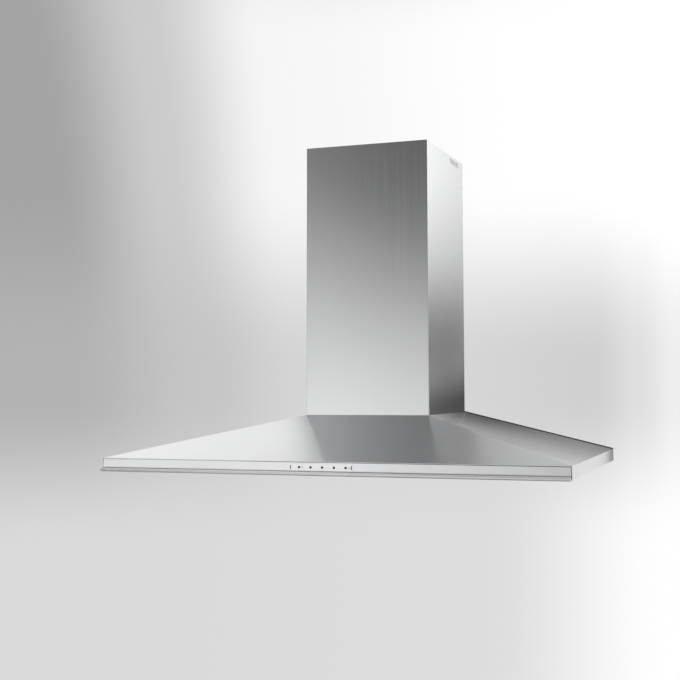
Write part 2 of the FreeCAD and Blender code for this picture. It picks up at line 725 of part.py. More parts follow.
# Scroll halves: a three-arc spiral with a flared outlet, split on the fan's middle plane.
def scroll(label, side):
    body = new_body(label)

    def spiral(inset):
        sketch = new_sketch(body, YZ)
        first_r = f"(fan_radius + scroll_gap + scroll_wall - {inset})"
        cy = "-fan_axis_depth"
        cz = "fan_axis_height"
        centres = [(cy, cz), (f"{cy} + scroll_step", cz), (f"{cy} + scroll_step", f"{cz} + scroll_step")]
        quarter = math.pi/2
        for k, (y, z) in enumerate(centres):
            ring = Part.Circle(point(y, z), FreeCAD.Vector(0, 0, 1), value(first_r) + k*value("scroll_step"))
            sketch.addGeometry(Part.ArcOfCircle(ring, quarter*(k + 1), quarter*(k + 2)))
            pin(sketch, k, 3, y, z)
        hold = sketch.addConstraint(Sketcher.Constraint("Radius", 0, value(first_r)))
        sketch.setExpression(f"Constraints[{hold}]", cells(first_r))
        sketch.addConstraint(Sketcher.Constraint("Vertical", 0, 3, 0, 1))
        sketch.addConstraint(Sketcher.Constraint("Horizontal", 0, 3, 0, 2))
        for k in (1, 2):
            sketch.addConstraint(Sketcher.Constraint("Coincident", k - 1, 2, k, 1))
        sketch.addConstraint(Sketcher.Constraint("Vertical", 1, 3, 1, 2))
        sketch.addConstraint(Sketcher.Constraint("Horizontal", 2, 3, 2, 2))
        far_y = f"({cy} + 3*scroll_step + {first_r})"
        top = f"({BOX_TOP} - skin)"
        flare_y = f"({cy} - scroll_flare + {inset})"
        corner = point(far_y, top)
        flare = point(flare_y, top)
        wall_foot = point(far_y, f"{cz} + scroll_step")
        tongue = point(cy, f"{cz} + {first_r}")
        sketch.addGeometry(Part.LineSegment(wall_foot, corner))
        sketch.addGeometry(Part.LineSegment(corner, flare))
        sketch.addGeometry(Part.LineSegment(flare, tongue))
        sketch.addConstraint(Sketcher.Constraint("Coincident", 2, 2, 3, 1))
        sketch.addConstraint(Sketcher.Constraint("Vertical", 3))
        pin(sketch, 3, 2, None, top)
        sketch.addConstraint(Sketcher.Constraint("Coincident", 3, 2, 4, 1))
        pin(sketch, 4, 2, flare_y, top)
        sketch.addConstraint(Sketcher.Constraint("Coincident", 4, 2, 5, 1))
        sketch.addConstraint(Sketcher.Constraint("Coincident", 5, 2, 0, 1))
        return sketch

    pad(body, spiral("0"), SCROLL_HALF, back=side < 0)
    pocket(body, spiral("scroll_wall"), f"{SCROLL_HALF} - scroll_wall", back=side > 0)
    cheek = f"{side}*{SCROLL_HALF}"
    mouth = new_sketch(body, YZ, cheek)
    circle(mouth, "-fan_axis_depth", "fan_axis_height", "inlet_radius")
    pocket(body, mouth, "scroll_wall*3", back=side < 0)
    return body


MOTOR_SCREWS = [
    (f"-fan_axis_depth + motor_screw_ring*{math.cos(turn):.5f}",
     f"fan_axis_height + motor_screw_ring*{math.sin(turn):.5f}")
    for turn in (math.pi/2, math.pi*7/6, math.pi*11/6)
]
scroll("scroll_left", -1)
scroll("scroll_right", 1)

# Fan wheel: forward-curved blades patterned round a middle disc, tied by end rings.
fan = new_body("fan_wheel")
place(fan, y="-fan_axis_depth", z="fan_axis_height", axis=(0, 1, 0), angle=90.0)
disc = new_sketch(fan, XY)
circle(disc, "0", "0", "fan_radius - disc_inset")
circle(disc, "0", "0", "shaft_radius + run_gap")
pad(fan, disc, "2*fan_disc", both=True)
boss = new_sketch(fan, XY)
circle(boss, "0", "0", "hub_radius")
circle(boss, "0", "0", "shaft_radius + run_gap")
pad(fan, boss, "2*hub_half", both=True)
rims = new_sketch(fan, XY, f"-{FAN_HALF}")
circle(rims, "0", "0", "fan_radius")
circle(rims, "0", "0", "fan_radius - fan_rim")
blade = new_sketch(fan, XY, f"-{FAN_HALF}")
BLADE_MID = "(fan_radius + fan_inner)/2"
outline(blade, [
    ("fan_inner", "-blade_thick/2"), (BLADE_MID, "blade_sag - blade_thick/2"),
    ("fan_radius - blade_tip_inset", "blade_sweep"),
    ("fan_radius - 2*blade_tip_inset", "blade_sweep + blade_thick"),
    (BLADE_MID, "blade_sag + blade_thick/2"), ("fan_inner", "blade_thick/2")])
one_blade = pad(fan, blade, f"2*{FAN_HALF}")
blades = fan.newObject("PartDesign::PolarPattern", "fan_blades")
blades.Originals = [one_blade]
blades.Axis = (origin_of(fan, "Z_Axis"), [""])
blades.Angle = 360.0
blades.setExpression("Occurrences", cells("blade_count"))
fan.Tip = blades
doc.recompute()
pad(fan, rims, "fan_ring")
far_rims = new_sketch(fan, XY, f"{FAN_HALF} - fan_ring")
circle(far_rims, "0", "0", "fan_radius")
circle(far_rims, "0", "0", "fan_radius - fan_rim")
pad(fan, far_rims, "fan_ring")

shaft = new_body("fan_shaft")
place(shaft, y="-fan_axis_depth", z="fan_axis_height", axis=(0, 1, 0), angle=90.0)
rod = new_sketch(shaft, XY, f"-({MOTOR_START} - shaft_inset)")
circle(rod, "0", "0", "shaft_radius")
pad(shaft, rod, f"{MOTOR_START} - shaft_inset + hub_half + shaft_past_hub")

motor = new_body("motor")
place(motor, y="-fan_axis_depth", z="fan_axis_height", axis=(0, 1, 0), angle=90.0)
BORE = "shaft_radius + run_gap"
MOTOR_END_R = "motor_radius - motor_bevel"
revolve(motor, [
    (BORE, f"-{MOTOR_START}"), (MOTOR_END_R, f"-{MOTOR_START}"),
    ("motor_radius", f"-({MOTOR_START} - motor_bevel)"), ("motor_radius", "-(motor_end + motor_bevel)"),
    (MOTOR_END_R, "-motor_end"), (BORE, "-motor_end")])

spider = new_body("motor_bracket")
SPIDER_FACE = f"-({SCROLL_HALF} + motor_plate)"
arms = new_sketch(spider, YZ, SPIDER_FACE)
circle(arms, "-fan_axis_depth", "fan_axis_height", "motor_radius + motor_ring")
pad(spider, arms, "motor_plate")
spread = new_sketch(spider, YZ, SPIDER_FACE)
for turn in (math.pi/2, math.pi*7/6, math.pi*11/6):
    along = (math.cos(turn), math.sin(turn))
    across = (-along[1], along[0])

    def arm_corner(reach, offset):
        y = f"-fan_axis_depth + {along[0]:.5f}*({reach}) + {across[0]:.5f}*({offset})"
        z = f"fan_axis_height + {along[1]:.5f}*({reach}) + {across[1]:.5f}*({offset})"
        return (y, z)

    outline(spread, [arm_corner("motor_radius + motor_arm_root", "-motor_arm/2"),
                     arm_corner("motor_arm_reach", "-motor_arm/2"),
                     arm_corner("motor_arm_reach", "motor_arm/2"),
                     arm_corner("motor_radius + motor_arm_root", "motor_arm/2")])
pad(spider, spread, "motor_plate")
eye = new_sketch(spider, YZ, SPIDER_FACE)
circle(eye, "-fan_axis_depth", "fan_axis_height", "motor_radius + motor_seat")
pocket(spider, eye, "motor_plate*2", back=True)
screws("motor_screws", YZ, SPIDER_FACE, MOTOR_SCREWS, -1)

capacitor = new_body("capacitor")
place(capacitor, x=f"-{CAPACITOR_X}", y=f"-{BOX_INSIDE_Y}", z="capacitor_z", axis=(1, 0, 0), angle=-90.0)
can = new_sketch(capacitor, XY)
circle(can, "0", "0", "capacitor_radius")
pad(capacitor, can, "capacitor_length")

# Outlet: collar with an inner lip, spindle and two half-round flaps that lie on the lip.
FLAP_AXIS = "(duct_wall + flap_thick/2 + flap_offset)"
FLAP_Z = f"({BOX_TOP} + {FLAP_AXIS})"
collar = new_body("outlet_collar")
place(collar, y="-duct_setback", z=BOX_TOP)
TUBE_IN = "duct_radius - duct_wall"
revolve(collar, [
    ("flap_lip", "0"), ("duct_radius + duct_flange", "0"), ("duct_radius + duct_flange", "duct_wall"),
    ("duct_radius", "duct_wall"), ("duct_radius", "duct_height"), (TUBE_IN, "duct_height"),
    (TUBE_IN, "duct_wall"), ("flap_lip", "duct_wall")])
spindle_bore = new_sketch(collar, YZ)
circle(spindle_bore, "0", FLAP_AXIS, "spindle_radius + run_gap")
pocket(collar, spindle_bore)
screws("collar_screws", XY, f"{BOX_TOP} + duct_wall", COLLAR_SCREWS, 1)

spindle = new_body("flap_spindle")
place(spindle, y="-duct_setback", z=FLAP_Z)
spindle_rod = new_sketch(spindle, YZ)
circle(spindle_rod, "0", "0", "spindle_radius")
pad(spindle, spindle_rod, "2*duct_radius", both=True)


def flap(label, side, start):
    body = new_body(label)
    place(body, y="-duct_setback", z=FLAP_Z)
    plate_low = "-(flap_offset + flap_thick/2)"
    plate = new_sketch(body, XY, plate_low)
    chord = "sqrt(flap_radius^2 - flap_relief^2)"
    disc_edge = Part.Circle(FreeCAD.Vector(), FreeCAD.Vector(0, 0, 1), value("flap_radius"))
    low = math.asin(value("flap_relief/flap_radius"))
    spread = (low, math.pi - low) if side > 0 else (math.pi + low, 2*math.pi - low)
    plate.addGeometry(Part.ArcOfCircle(disc_edge, *spread))
    left = point(f"-{chord}", f"{side}*flap_relief")
    right = point(chord, f"{side}*flap_relief")
    ends = (left, right) if side > 0 else (right, left)
    plate.addGeometry(Part.LineSegment(*ends))
    pin(plate, 0, 3, "0", "0")
    plate.addConstraint(Sketcher.Constraint("Coincident", 0, 2, 1, 1))
    plate.addConstraint(Sketcher.Constraint("Coincident", 1, 2, 0, 1))
    plate.addConstraint(Sketcher.Constraint("Horizontal", 1))
    pin(plate, 1, 1, None, f"{side}*flap_relief")
    hold = plate.addConstraint(Sketcher.Constraint("Radius", 0, value("flap_radius")))
    plate.setExpression(f"Constraints[{hold}]", cells("flap_radius"))
    pad(body, plate, "flap_thick")
    tab = new_sketch(body, XY, plate_low)
    rectangle(tab, start, "0", f"{start} + knuckle_length", f"{side}*(flap_relief + flap_tab)")
    pad(body, tab, "flap_thick")
    knuckle = new_sketch(body, YZ, start)
    circle(knuckle, "0", "0", "knuckle_radius")
    pad(body, knuckle, "knuckle_length")
    bore = new_sketch(body, YZ)
    circle(bore, "0", "0", "spindle_radius + run_gap")
    pocket(body, bore)
    return body


flap("flap_front", -1, "-(knuckle_gap + knuckle_length)")
flap("flap_rear", 1, "knuckle_gap")

gland = new_body("cable_gland")
place(gland, x=GLAND_X, y=f"-{GLAND_Y}", z=BOX_TOP)
nut = new_sketch(gland, XY)
outline(nut, hexagon("0", "0", "gland_radius*gland_nut_share"))
pad(gland, nut, "gland_nut_height")
barrel = new_sketch(gland, XY)
circle(barrel, "0", "0", "gland_radius*gland_barrel_share")
pad(gland, barrel, "gland_height")
cord_hole = new_sketch(gland, XY)
circle(cord_hole, "0", "0", "gland_radius*gland_hole_share")
pocket(gland, cord_hole)


# Filters: tray frame, pierced face, mesh core, handle and spring catch on each side.
def filter_set(name, side):
    middle = f"{side}*{FILTER_CENTRE}"
    front = f"-{FILTER_FRONT}"
    back = "-filter_rear"
    half = f"{FILTER_WIDTH}/2"
    low = "filter_low"

    def panel(sketch, inset, corner_front=front, corner_back=back):
        rectangle(sketch, f"{middle} - ({half} - {inset})", f"{corner_front} + {inset}",
                  f"{middle} + ({half} - {inset})", f"{corner_back} - {inset}")

    frame = new_body(f"filter_frame_{name}")
    rim = new_sketch(frame, XY, low)
    panel(rim, "0")
    pad(frame, rim, "filter_thick")
    well = new_sketch(frame, XY, f"{low} + filter_skin")
    panel(well, "filter_skin")
    pocket(frame, well, "filter_thick", back=True)
    sight = new_sketch(frame, XY, low)
    panel(sight, "filter_border")
    pocket(frame, sight, "filter_skin*2", back=True)
    tabs = new_sketch(frame, XY, f"{PAN_TOP} + seat_gap")
    for way in (-1, 1):
        centre = f"{middle} + {way}*{FILTER_WIDTH}*filter_tab_share"
        rectangle(tabs, f"{centre} - filter_tab_width/2", f"{back} - filter_skin/2",
                  f"{centre} + filter_tab_width/2", f"{back} + filter_tab_reach")
    pad(frame, tabs, "filter_skin")

    face = doc.addObject("Part::Feature", f"filter_grille_{name}")
    face.Label = face.Name
    inset = value("filter_skin + grille_gap")
    x0 = value(f"{middle} - {half}") + inset
    x1 = value(f"{middle} + {half}") - inset
    y0 = value(front) + inset
    y1 = value(back) - inset
    z = value(f"{low} + filter_skin")
    margin = value("filter_border + grille_margin")
    columns = int(value("grille_columns"))
    rows = int(value("grille_rows"))
    step_x = (x1 - x0 - 2*margin)/columns
    step_y = (y1 - y0 - 2*margin)/rows
    web = value("grille_web")

    def wire(corners):
        spots = [FreeCAD.Vector(x, y, z) for x, y in corners]
        return Part.makePolygon(spots + spots[:1])

    loops = [wire([(x0, y0), (x1, y0), (x1, y1), (x0, y1)])]
    for row in range(rows):
        offset = step_x/2 if row % 2 else 0.0
        for column in range(columns - (1 if row % 2 else 0)):
            cx = x0 + margin + (column + 0.5)*step_x + offset
            cy = y0 + margin + (row + 0.5)*step_y
            reach_x = step_x/2 - web
            reach_y = step_y/2 - web/2
            loops.append(wire([
                (cx - reach_x, cy), (cx, cy - reach_y), (cx + reach_x, cy), (cx, cy + reach_y)]))
    sheet_face = Part.Face(loops[0])
    holes = Part.makeCompound([Part.Face(loop) for loop in loops[1:]])
    face.Shape = sheet_face.cut(holes).extrude(FreeCAD.Vector(0, 0, value("grille_thick"))).Solids[0]
    nodes.append(face)

    core = new_body(f"filter_core_{name}")
    pack = new_sketch(core, XY, f"{low} + filter_skin + grille_thick")
    panel(pack, "(filter_skin + core_gap)")
    pad(core, pack, "filter_thick - filter_skin - grille_thick")

    handle = new_body(f"filter_handle_{name}")
    grip = new_sketch(handle, YZ, f"{middle} - handle_width/2")
    grip_front = f"({front} + handle_inset)"
    grip_wall = f"({grip_front} + handle_wall)"
    outline(grip, [
        (grip_front, low), (f"{grip_front} + handle_depth", low),
        (f"{grip_front} + handle_depth", f"{low} - handle_toe"),
        (f"{grip_wall} + handle_bend", f"{low} - handle_heel"),
        (grip_wall, f"{low} - handle_drop"), (grip_front, f"{low} - handle_drop")])
    pad(handle, grip, "handle_width")

    def is_grip_end(edge):
        on_end = edge.BoundBox.XLength < 0.01
        return on_end and edge.BoundBox.ZMax < value(f"{low} - handle_drop") + 0.01

    soften(handle, is_grip_end, "handle_bevel", "PartDesign::Chamfer")

    catch = new_body(f"filter_catch_{name}")
    leaf = new_sketch(catch, YZ, f"{middle} - catch_width/2")
    top = f"({low} + filter_thick)"
    nose = f"({front} - filter_gap - catch_reach)"
    outline(leaf, [
        (f"{front} + catch_tail", top), (f"{front} + catch_tail", f"{top} + catch_thick"),
        (nose, f"{top} + catch_thick"), (nose, f"{PAN_TOP} + seat_gap"),
        (f"{nose} + catch_thick", f"{PAN_TOP} + seat_gap"), (f"{nose} + catch_thick", top)])
    pad(catch, leaf, "catch_width")


filter_set("left", -1)
filter_set("right", 1)


# Lamps: bezel below the pan, glass on its inner edge, cup and bulb above the pan.
def lamp(name, side):
    spot = {"x": f"{side}*{LAMP_X}", "y": f"-{LAMP_Y}", "z": f"({PAN_TOP} - skin)"}
    bezel = new_body(f"lamp_bezel_{name}")
    place(bezel, **spot)
    revolve(bezel, [
        ("lamp_sight", "-lamp_rim_thick"), ("lamp_rim - lamp_rim_slope", "-lamp_rim_thick"),
        ("lamp_rim", "-(lamp_rim_thick - lamp_rim_slope)"), ("lamp_rim", "0"), ("lamp_sight", "0")])
    glass = new_body(f"lamp_glass_{name}")
    place(glass, **spot)
    pane = new_sketch(glass, XY)
    circle(pane, "0", "0", "lamp_glass")
    pad(glass, pane, "lamp_glass_thick")
    cup = new_body(f"lamp_holder_{name}")
    place(cup, **spot)
    shell = new_sketch(cup, XY, "skin")
    rectangle(shell, "-lamp_cup", "-lamp_cup", "lamp_cup", "lamp_cup")
    pad(cup, shell, "lamp_cup_height")
    room = new_sketch(cup, XY, "skin")
    inside = "(lamp_cup - lamp_cup_wall)"
    rectangle(room, f"-{inside}", f"-{inside}", inside, inside)
    pocket(cup, room, "lamp_cup_height - lamp_cup_wall", back=True)
    bulb = new_body(f"lamp_bulb_{name}")
    place(bulb, **spot)
    roof = "(skin + lamp_cup_height - lamp_cup_wall)"
    foot = new_sketch(bulb, XY, roof)
    rectangle(foot, "-bulb_base", "-bulb_base", "bulb_base", "bulb_base")
    pad(bulb, foot, "bulb_base_height", back=True)
    capsule = new_sketch(bulb, XY, f"{roof} - bulb_base_height")
    circle(capsule, "0", "0", "bulb_radius")
    pad(bulb, capsule, "bulb_length", back=True)

    def is_tip(edge):
        return edge.BoundBox.ZMax < value(f"{roof} - bulb_base_height - bulb_length") + 0.01

    soften(bulb, is_tip, "bulb_tip", "PartDesign::Chamfer")


lamp("left", -1)
lamp("right", 1)

# Controls: plate over the fascia window, guided buttons, block and board behind.
PLATE_FRONT = "(canopy_depth + control_proud)"
PLATE_REAR = "(canopy_depth - skin)"
BUTTON_X = [f"({k}*button_pitch + button_shift)" for k in (-2, -1, 0, 1, 2)]
plate = new_body("control_plate")
rim_face = new_sketch(plate, XZ, "canopy_depth")
rectangle(rim_face, "-control_width/2", "control_centre - control_height/2", "control_width/2",
          "control_centre + control_height/2")
pad(plate, rim_face, "control_proud")
tongue_face = new_sketch(plate, XZ, PLATE_REAR)
TONGUE_X = f"({WINDOW_X} - tongue_gap)"
TONGUE_Z = f"({WINDOW_Z} - tongue_gap)"
rectangle(tongue_face, f"-{TONGUE_X}", f"control_centre - {TONGUE_Z}", TONGUE_X,
          f"control_centre + {TONGUE_Z}")
pad(plate, tongue_face, "skin")


def is_plate_corner(edge):
    front = edge.BoundBox.YMin < -value("canopy_depth") - 0.2
    return is_line_along(edge, "y") and front


soften(plate, is_plate_corner, "plate_corner")
cuts = new_sketch(plate, XZ, f"{PLATE_FRONT} + cut_over")
for x in BUTTON_X:
    circle(cuts, x, "control_centre", "button_radius + button_guide")
pocket(plate, cuts, "control_proud + skin + 2*cut_over")
end_slots = new_sketch(plate, XZ, f"{PLATE_FRONT} + cut_over")
for side in (-1, 1):
    rectangle(end_slots, f"{side}*end_slot_x - end_slot_width/2", "control_centre - end_slot_height/2",
              f"{side}*end_slot_x + end_slot_width/2", "control_centre + end_slot_height/2")
pocket(plate, end_slots, "control_proud*end_slot_share + cut_over")

block = new_body("switch_block")
BLOCK_REAR = f"({PLATE_REAR} - switch_depth)"
block_face = new_sketch(block, XZ, BLOCK_REAR)
BLOCK_X = "(control_width/2 - block_inset)"
rectangle(block_face, f"-{BLOCK_X}", "control_centre - block_half", BLOCK_X, "control_centre + block_half")
pad(block, block_face, "switch_depth")
wells = new_sketch(block, XZ, PLATE_REAR)
WELL = "(button_collar + button_well)"
for x in BUTTON_X:
    rectangle(wells, f"{x} - {WELL}", f"control_centre - {WELL}", f"{x} + {WELL}",
              f"control_centre + {WELL}")
pocket(block, wells, "button_travel + well_spare")

board = new_body("switch_board")
board_face = new_sketch(board, XZ, f"{BLOCK_REAR} - board_thick")
BOARD_X = "(control_width/2 - board_inset)"
rectangle(board_face, f"-{BOARD_X}", "control_centre - board_half", BOARD_X, "control_centre + board_half")
pad(board, board_face, "board_thick")

BUTTON_NAMES = ("lamp", "off", "low", "middle", "high")
BUTTON_TOP = "(control_proud + skin + button_proud)"


def is_button_top(edge):
    return edge.BoundBox.ZMin > value(BUTTON_TOP) - 0.01


for name, x in zip(BUTTON_NAMES, BUTTON_X):
    button = new_body(f"button_{name}")
    place(button, x=x, y=f"-({PLATE_REAR} - button_rest_gap)", z="control_centre", axis=(1, 0, 0),
          angle=90.0)
    base = new_sketch(button, XY, "-button_flange")
    rectangle(base, "-button_collar", "-button_collar", "button_collar", "button_collar")
    pad(button, base, "button_flange")
    head = new_sketch(button, XY)
    circle(head, "0", "0", "button_radius")
    pad(button, head, BUTTON_TOP)
    soften(button, is_button_top, "button_edge", "PartDesign::Chamfer")

# Electrics: control box on the air box front, its board and lid, transformer and leads.
case_body = new_body("control_box")
back_face = new_sketch(case_body, XZ, BOX_DEPTH)
rectangle(back_face, f"-{CASE_WIDTH}/2", "box_case_low", f"{CASE_WIDTH}/2", "box_case_low + box_case_height")
pad(case_body, back_face, "box_case_depth")
tray = new_sketch(case_body, XZ, f"{BOX_DEPTH} + case_wall")
rectangle(tray, f"-({CASE_WIDTH}/2 - case_wall)", "box_case_low + case_wall", f"{CASE_WIDTH}/2 - case_wall",
          "box_case_low + box_case_height - case_wall")
pocket(case_body, tray, "box_case_depth", back=True)
rear_port = new_sketch(case_body, XZ, f"{BOX_DEPTH} + case_wall + cut_over")
rectangle(rear_port, f"-({MOTOR_PORT_X} + lead_port)", "fan_axis_height - lead_port",
          f"-({MOTOR_PORT_X} - lead_port)", "fan_axis_height + lead_port")
pocket(case_body, rear_port, "case_wall + 2*cut_over")

lid = new_body("control_box_lid")
lid_face = new_sketch(lid, XZ, f"{BOX_DEPTH} + box_case_depth")
rectangle(lid_face, f"-{CASE_WIDTH}/2", "box_case_low", f"{CASE_WIDTH}/2", "box_case_low + box_case_height")
pad(lid, lid_face, "case_wall")

card = new_body("control_board")
card_face = new_sketch(card, XZ, f"{BOX_DEPTH} + case_wall")
rectangle(card_face, f"-({CASE_WIDTH}/2 - card_port_margin)", "box_case_low + card_margin",
          f"{CASE_WIDTH}/2 - card_margin", "box_case_low + box_case_height - card_margin")
pad(card, card_face, "board_thick")
relays = new_sketch(card, XZ, f"{BOX_DEPTH} + case_wall + board_thick")
for k in range(int(value("relay_count"))):
    left = f"({k} - relay_count/2)*relay_pitch"
    rectangle(relays, left, "box_case_low + relay_low", f"{left} + relay_width",
              "box_case_low + relay_low + relay_height")
choke_right = f"({CASE_WIDTH}/2 - 2*card_margin)"
rectangle(relays, f"{choke_right} - choke_width", "box_case_low + choke_low", choke_right,
          "box_case_low + choke_low + choke_height")
pad(card, relays, "box_case_depth*relay_share")

transformer = new_body("lamp_transformer")
brick = new_sketch(transformer, XY, PAN_TOP)
rectangle(brick, f"{TRANSFORMER_X} - transformer_length/2", "-(transformer_y + transformer_width/2)",
          f"{TRANSFORMER_X} + transformer_length/2", "-(transformer_y - transformer_width/2)")
pad(transformer, brick, "transformer_height")


def is_brick_edge(edge):
    return edge.BoundBox.ZMin > value(f"{PAN_TOP} + transformer_height") - 0.01


soften(transformer, is_brick_edge, "transformer_bevel", "PartDesign::Chamfer")

LEAD_Z = f"({PAN_TOP} + lead_thick/2 + lead_lift)"
CUP_REAR = f"-({LAMP_Y} - lamp_cup - lead_end_gap)"
lead("lamp_lead_right", [
    (f"{TRANSFORMER_X} + transformer_length/2", "-transformer_y", LEAD_Z),
    (LAMP_X, "-transformer_y", LEAD_Z), (LAMP_X, CUP_REAR, LEAD_Z)], (0, 1, 0))
lead("lamp_lead_left", [
    (f"{TRANSFORMER_X} - transformer_length/2", "-transformer_y", LEAD_Z),
    (f"-{LAMP_X}", "-transformer_y", LEAD_Z), (f"-{LAMP_X}", CUP_REAR, LEAD_Z)], (0, 1, 0))
lead("switch_lead", [
    ("0", f"-({BLOCK_REAR} - board_thick)", "control_centre + lead_level"),
    ("0", "-(canopy_depth - lead_run)", "control_centre + lead_level"),
    ("0", f"-{SWITCH_Y}", f"{DECK_UNDER} - lead_deck_drop"),
    ("0", f"-{SWITCH_Y}", "box_case_low")], (1, 0, 0))
lead("motor_lead", [
    (f"-{MOTOR_PORT_X}", f"-({BOX_DEPTH} + case_wall + lead_end_reach)", "fan_axis_height"),
    (f"-{MOTOR_PORT_X}", "-(fan_axis_depth + motor_radius)", "fan_axis_height")], (1, 0, 0))

doc.recompute()
os.makedirs("parts", exist_ok=True)
faults = []
for item in doc.Objects:
    if "Invalid" in item.State or "Error" in item.State:
        faults.append(f"{item.Name}: {item.State}")
for node in nodes:
    shape = node.Shape
    if shape.isNull() or not shape.isValid() or shape.Volume <= 0:
        faults.append(f"{node.Label}: shape not sound")
if faults:
    raise RuntimeError("; ".join(faults))
for node in nodes:
    node.Shape.exportStep(f"parts/{node.Label}.step")
print(len(nodes), "nodes written")
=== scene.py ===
import json
import math

import bmesh
import bpy
from mathutils import Matrix, Vector


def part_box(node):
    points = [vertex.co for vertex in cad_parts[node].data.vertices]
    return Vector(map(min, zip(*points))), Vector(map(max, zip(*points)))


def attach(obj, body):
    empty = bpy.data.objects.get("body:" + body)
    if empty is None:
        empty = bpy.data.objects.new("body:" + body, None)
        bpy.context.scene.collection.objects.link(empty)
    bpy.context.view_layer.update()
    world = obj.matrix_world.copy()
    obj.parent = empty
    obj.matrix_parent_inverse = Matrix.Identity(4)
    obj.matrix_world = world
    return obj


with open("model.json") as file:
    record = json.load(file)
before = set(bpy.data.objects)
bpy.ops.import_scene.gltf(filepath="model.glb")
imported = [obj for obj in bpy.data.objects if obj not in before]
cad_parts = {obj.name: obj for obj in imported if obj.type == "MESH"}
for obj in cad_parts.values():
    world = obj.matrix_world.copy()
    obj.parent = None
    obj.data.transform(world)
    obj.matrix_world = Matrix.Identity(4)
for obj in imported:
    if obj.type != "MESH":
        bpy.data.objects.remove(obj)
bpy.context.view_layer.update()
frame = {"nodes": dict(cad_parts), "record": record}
nodes = frame["nodes"]
scene = bpy.context.scene
scene.view_settings.view_transform = "Standard"
MM = 0.001
WHITE = (1.0, 1.0, 1.0, 1.0)


# Small helpers for node trees
def grey(level):
    return (level, level, level)


def add_node(tree, kind, **settings):
    node = tree.nodes.new(kind)
    for name, setting in settings.items():
        setattr(node, name, setting)
    return node


def feed(tree, socket, source):
    """Link a socket, or set its plain value when the source is a number or tuple."""
    if hasattr(source, "is_output"):
        tree.links.new(source, socket)
    else:
        socket.default_value = source


def math_of(tree, operation, first, second):
    node = add_node(tree, "ShaderNodeMath", operation=operation)
    feed(tree, node.inputs[0], first)
    feed(tree, node.inputs[1], second)
    return node.outputs[0]


def vector_of(tree, operation, first, second):
    node = add_node(tree, "ShaderNodeVectorMath", operation=operation)
    feed(tree, node.inputs[0], first)
    feed(tree, node.inputs[1], second)
    return node.outputs["Vector"]


def span(tree, source, low, high, start=0.0, stop=1.0, smooth=False):
    """A value from low to high while the source goes from start to stop."""
    node = add_node(tree, "ShaderNodeMapRange")
    node.interpolation_type = "SMOOTHSTEP" if smooth else "LINEAR"
    feed(tree, node.inputs["Value"], source)
    for name, number in (("From Min", start), ("From Max", stop), ("To Min", low), ("To Max", high)):
        node.inputs[name].default_value = number
    return node.outputs["Result"]


def fade(tree, source, start, stop):
    """A soft step from 0 to 1 between start and stop."""
    return span(tree, source, 0.0, 1.0, start, stop, smooth=True)


def blended(tree, factor, first, second):
    node = add_node(tree, "ShaderNodeMix", data_type="RGBA")
    feed(tree, node.inputs[0], factor)
    feed(tree, node.inputs[6], first)
    feed(tree, node.inputs[7], second)
    return node.outputs[2]


def tones(tree, source, dark, light):
    return blended(tree, source, (*dark, 1.0), (*light, 1.0))


def relief(tree, height, strength, distance):
    node = add_node(tree, "ShaderNodeBump")
    node.inputs["Strength"].default_value = strength
    node.inputs["Distance"].default_value = distance
    feed(tree, node.inputs["Height"], height)
    return node.outputs["Normal"]


def ramp(tree, source, stops):
    """A soft curve of brightness through (position, level) stops, over -1 to 1."""
    node = add_node(tree, "ShaderNodeValToRGB")
    feed(tree, node.inputs["Fac"], span(tree, source, 0.0, 1.0, -1.0, 1.0))
    curve = node.color_ramp
    curve.interpolation = "EASE"
    while len(curve.elements) < len(stops):
        curve.elements.new(1.0)
    for element, (position, level) in zip(curve.elements, stops):
        element.position = (position + 1.0)/2.0
        element.color = (*grey(level), 1.0)
    return node.outputs["Color"]


def own_place(tree):
    """Position on the piece itself."""
    return add_node(tree, "ShaderNodeTexCoord").outputs["Object"]


def noise(tree, place, scale, detail):
    node = add_node(tree, "ShaderNodeTexNoise")
    feed(tree, node.inputs["Vector"], place)
    feed(tree, node.inputs["Scale"], scale)
    node.inputs["Detail"].default_value = detail
    return node.outputs["Fac"]


# Finishes shared by several materials
NOISE_MIDDLE = (0.3, 0.7)
DUST_RANGE = (0.35, 0.75)
GRAIN_ALONG = (4.0, 1100.0, 1100.0)
GRAIN_UPRIGHT = (1100.0, 1100.0, 4.0)
GRAIN_EVEN = (300.0, 300.0, 300.0)
GRAIN_COARSE = (60.0, 60.0, 60.0)
GRAIN_INWARD = (700.0, 12.0, 700.0)
MOULD_GRAIN = 900.0


def new_group(name, inputs, outputs):
    tree = bpy.data.node_groups.new(name, "ShaderNodeTree")
    for label, kind, default in inputs:
        tree.interface.new_socket(label, in_out="INPUT", socket_type=kind).default_value = default
    for label in outputs:
        tree.interface.new_socket(label, in_out="OUTPUT", socket_type="NodeSocketFloat")
    return tree, tree.nodes.new("NodeGroupInput"), tree.nodes.new("NodeGroupOutput")


def make_brushed_grain():
    """Fine streaks stretched one way, with broad handling marks under them."""
    tree, given, result = new_group(
        "brushed_grain", [("Stretch", "NodeSocketVector", GRAIN_ALONG)], ["Streak", "Smudge"])
    place = own_place(tree)
    stretched = vector_of(tree, "MULTIPLY", place, given.outputs["Stretch"])
    fine = noise(tree, stretched, scale=1.0, detail=3.0)
    broad = noise(tree, place, scale=5.0, detail=4.0)
    feed(tree, result.inputs["Streak"], span(tree, fine, 0.0, 1.0, *NOISE_MIDDLE))
    feed(tree, result.inputs["Smudge"], fade(tree, broad, *NOISE_MIDDLE))
    return tree


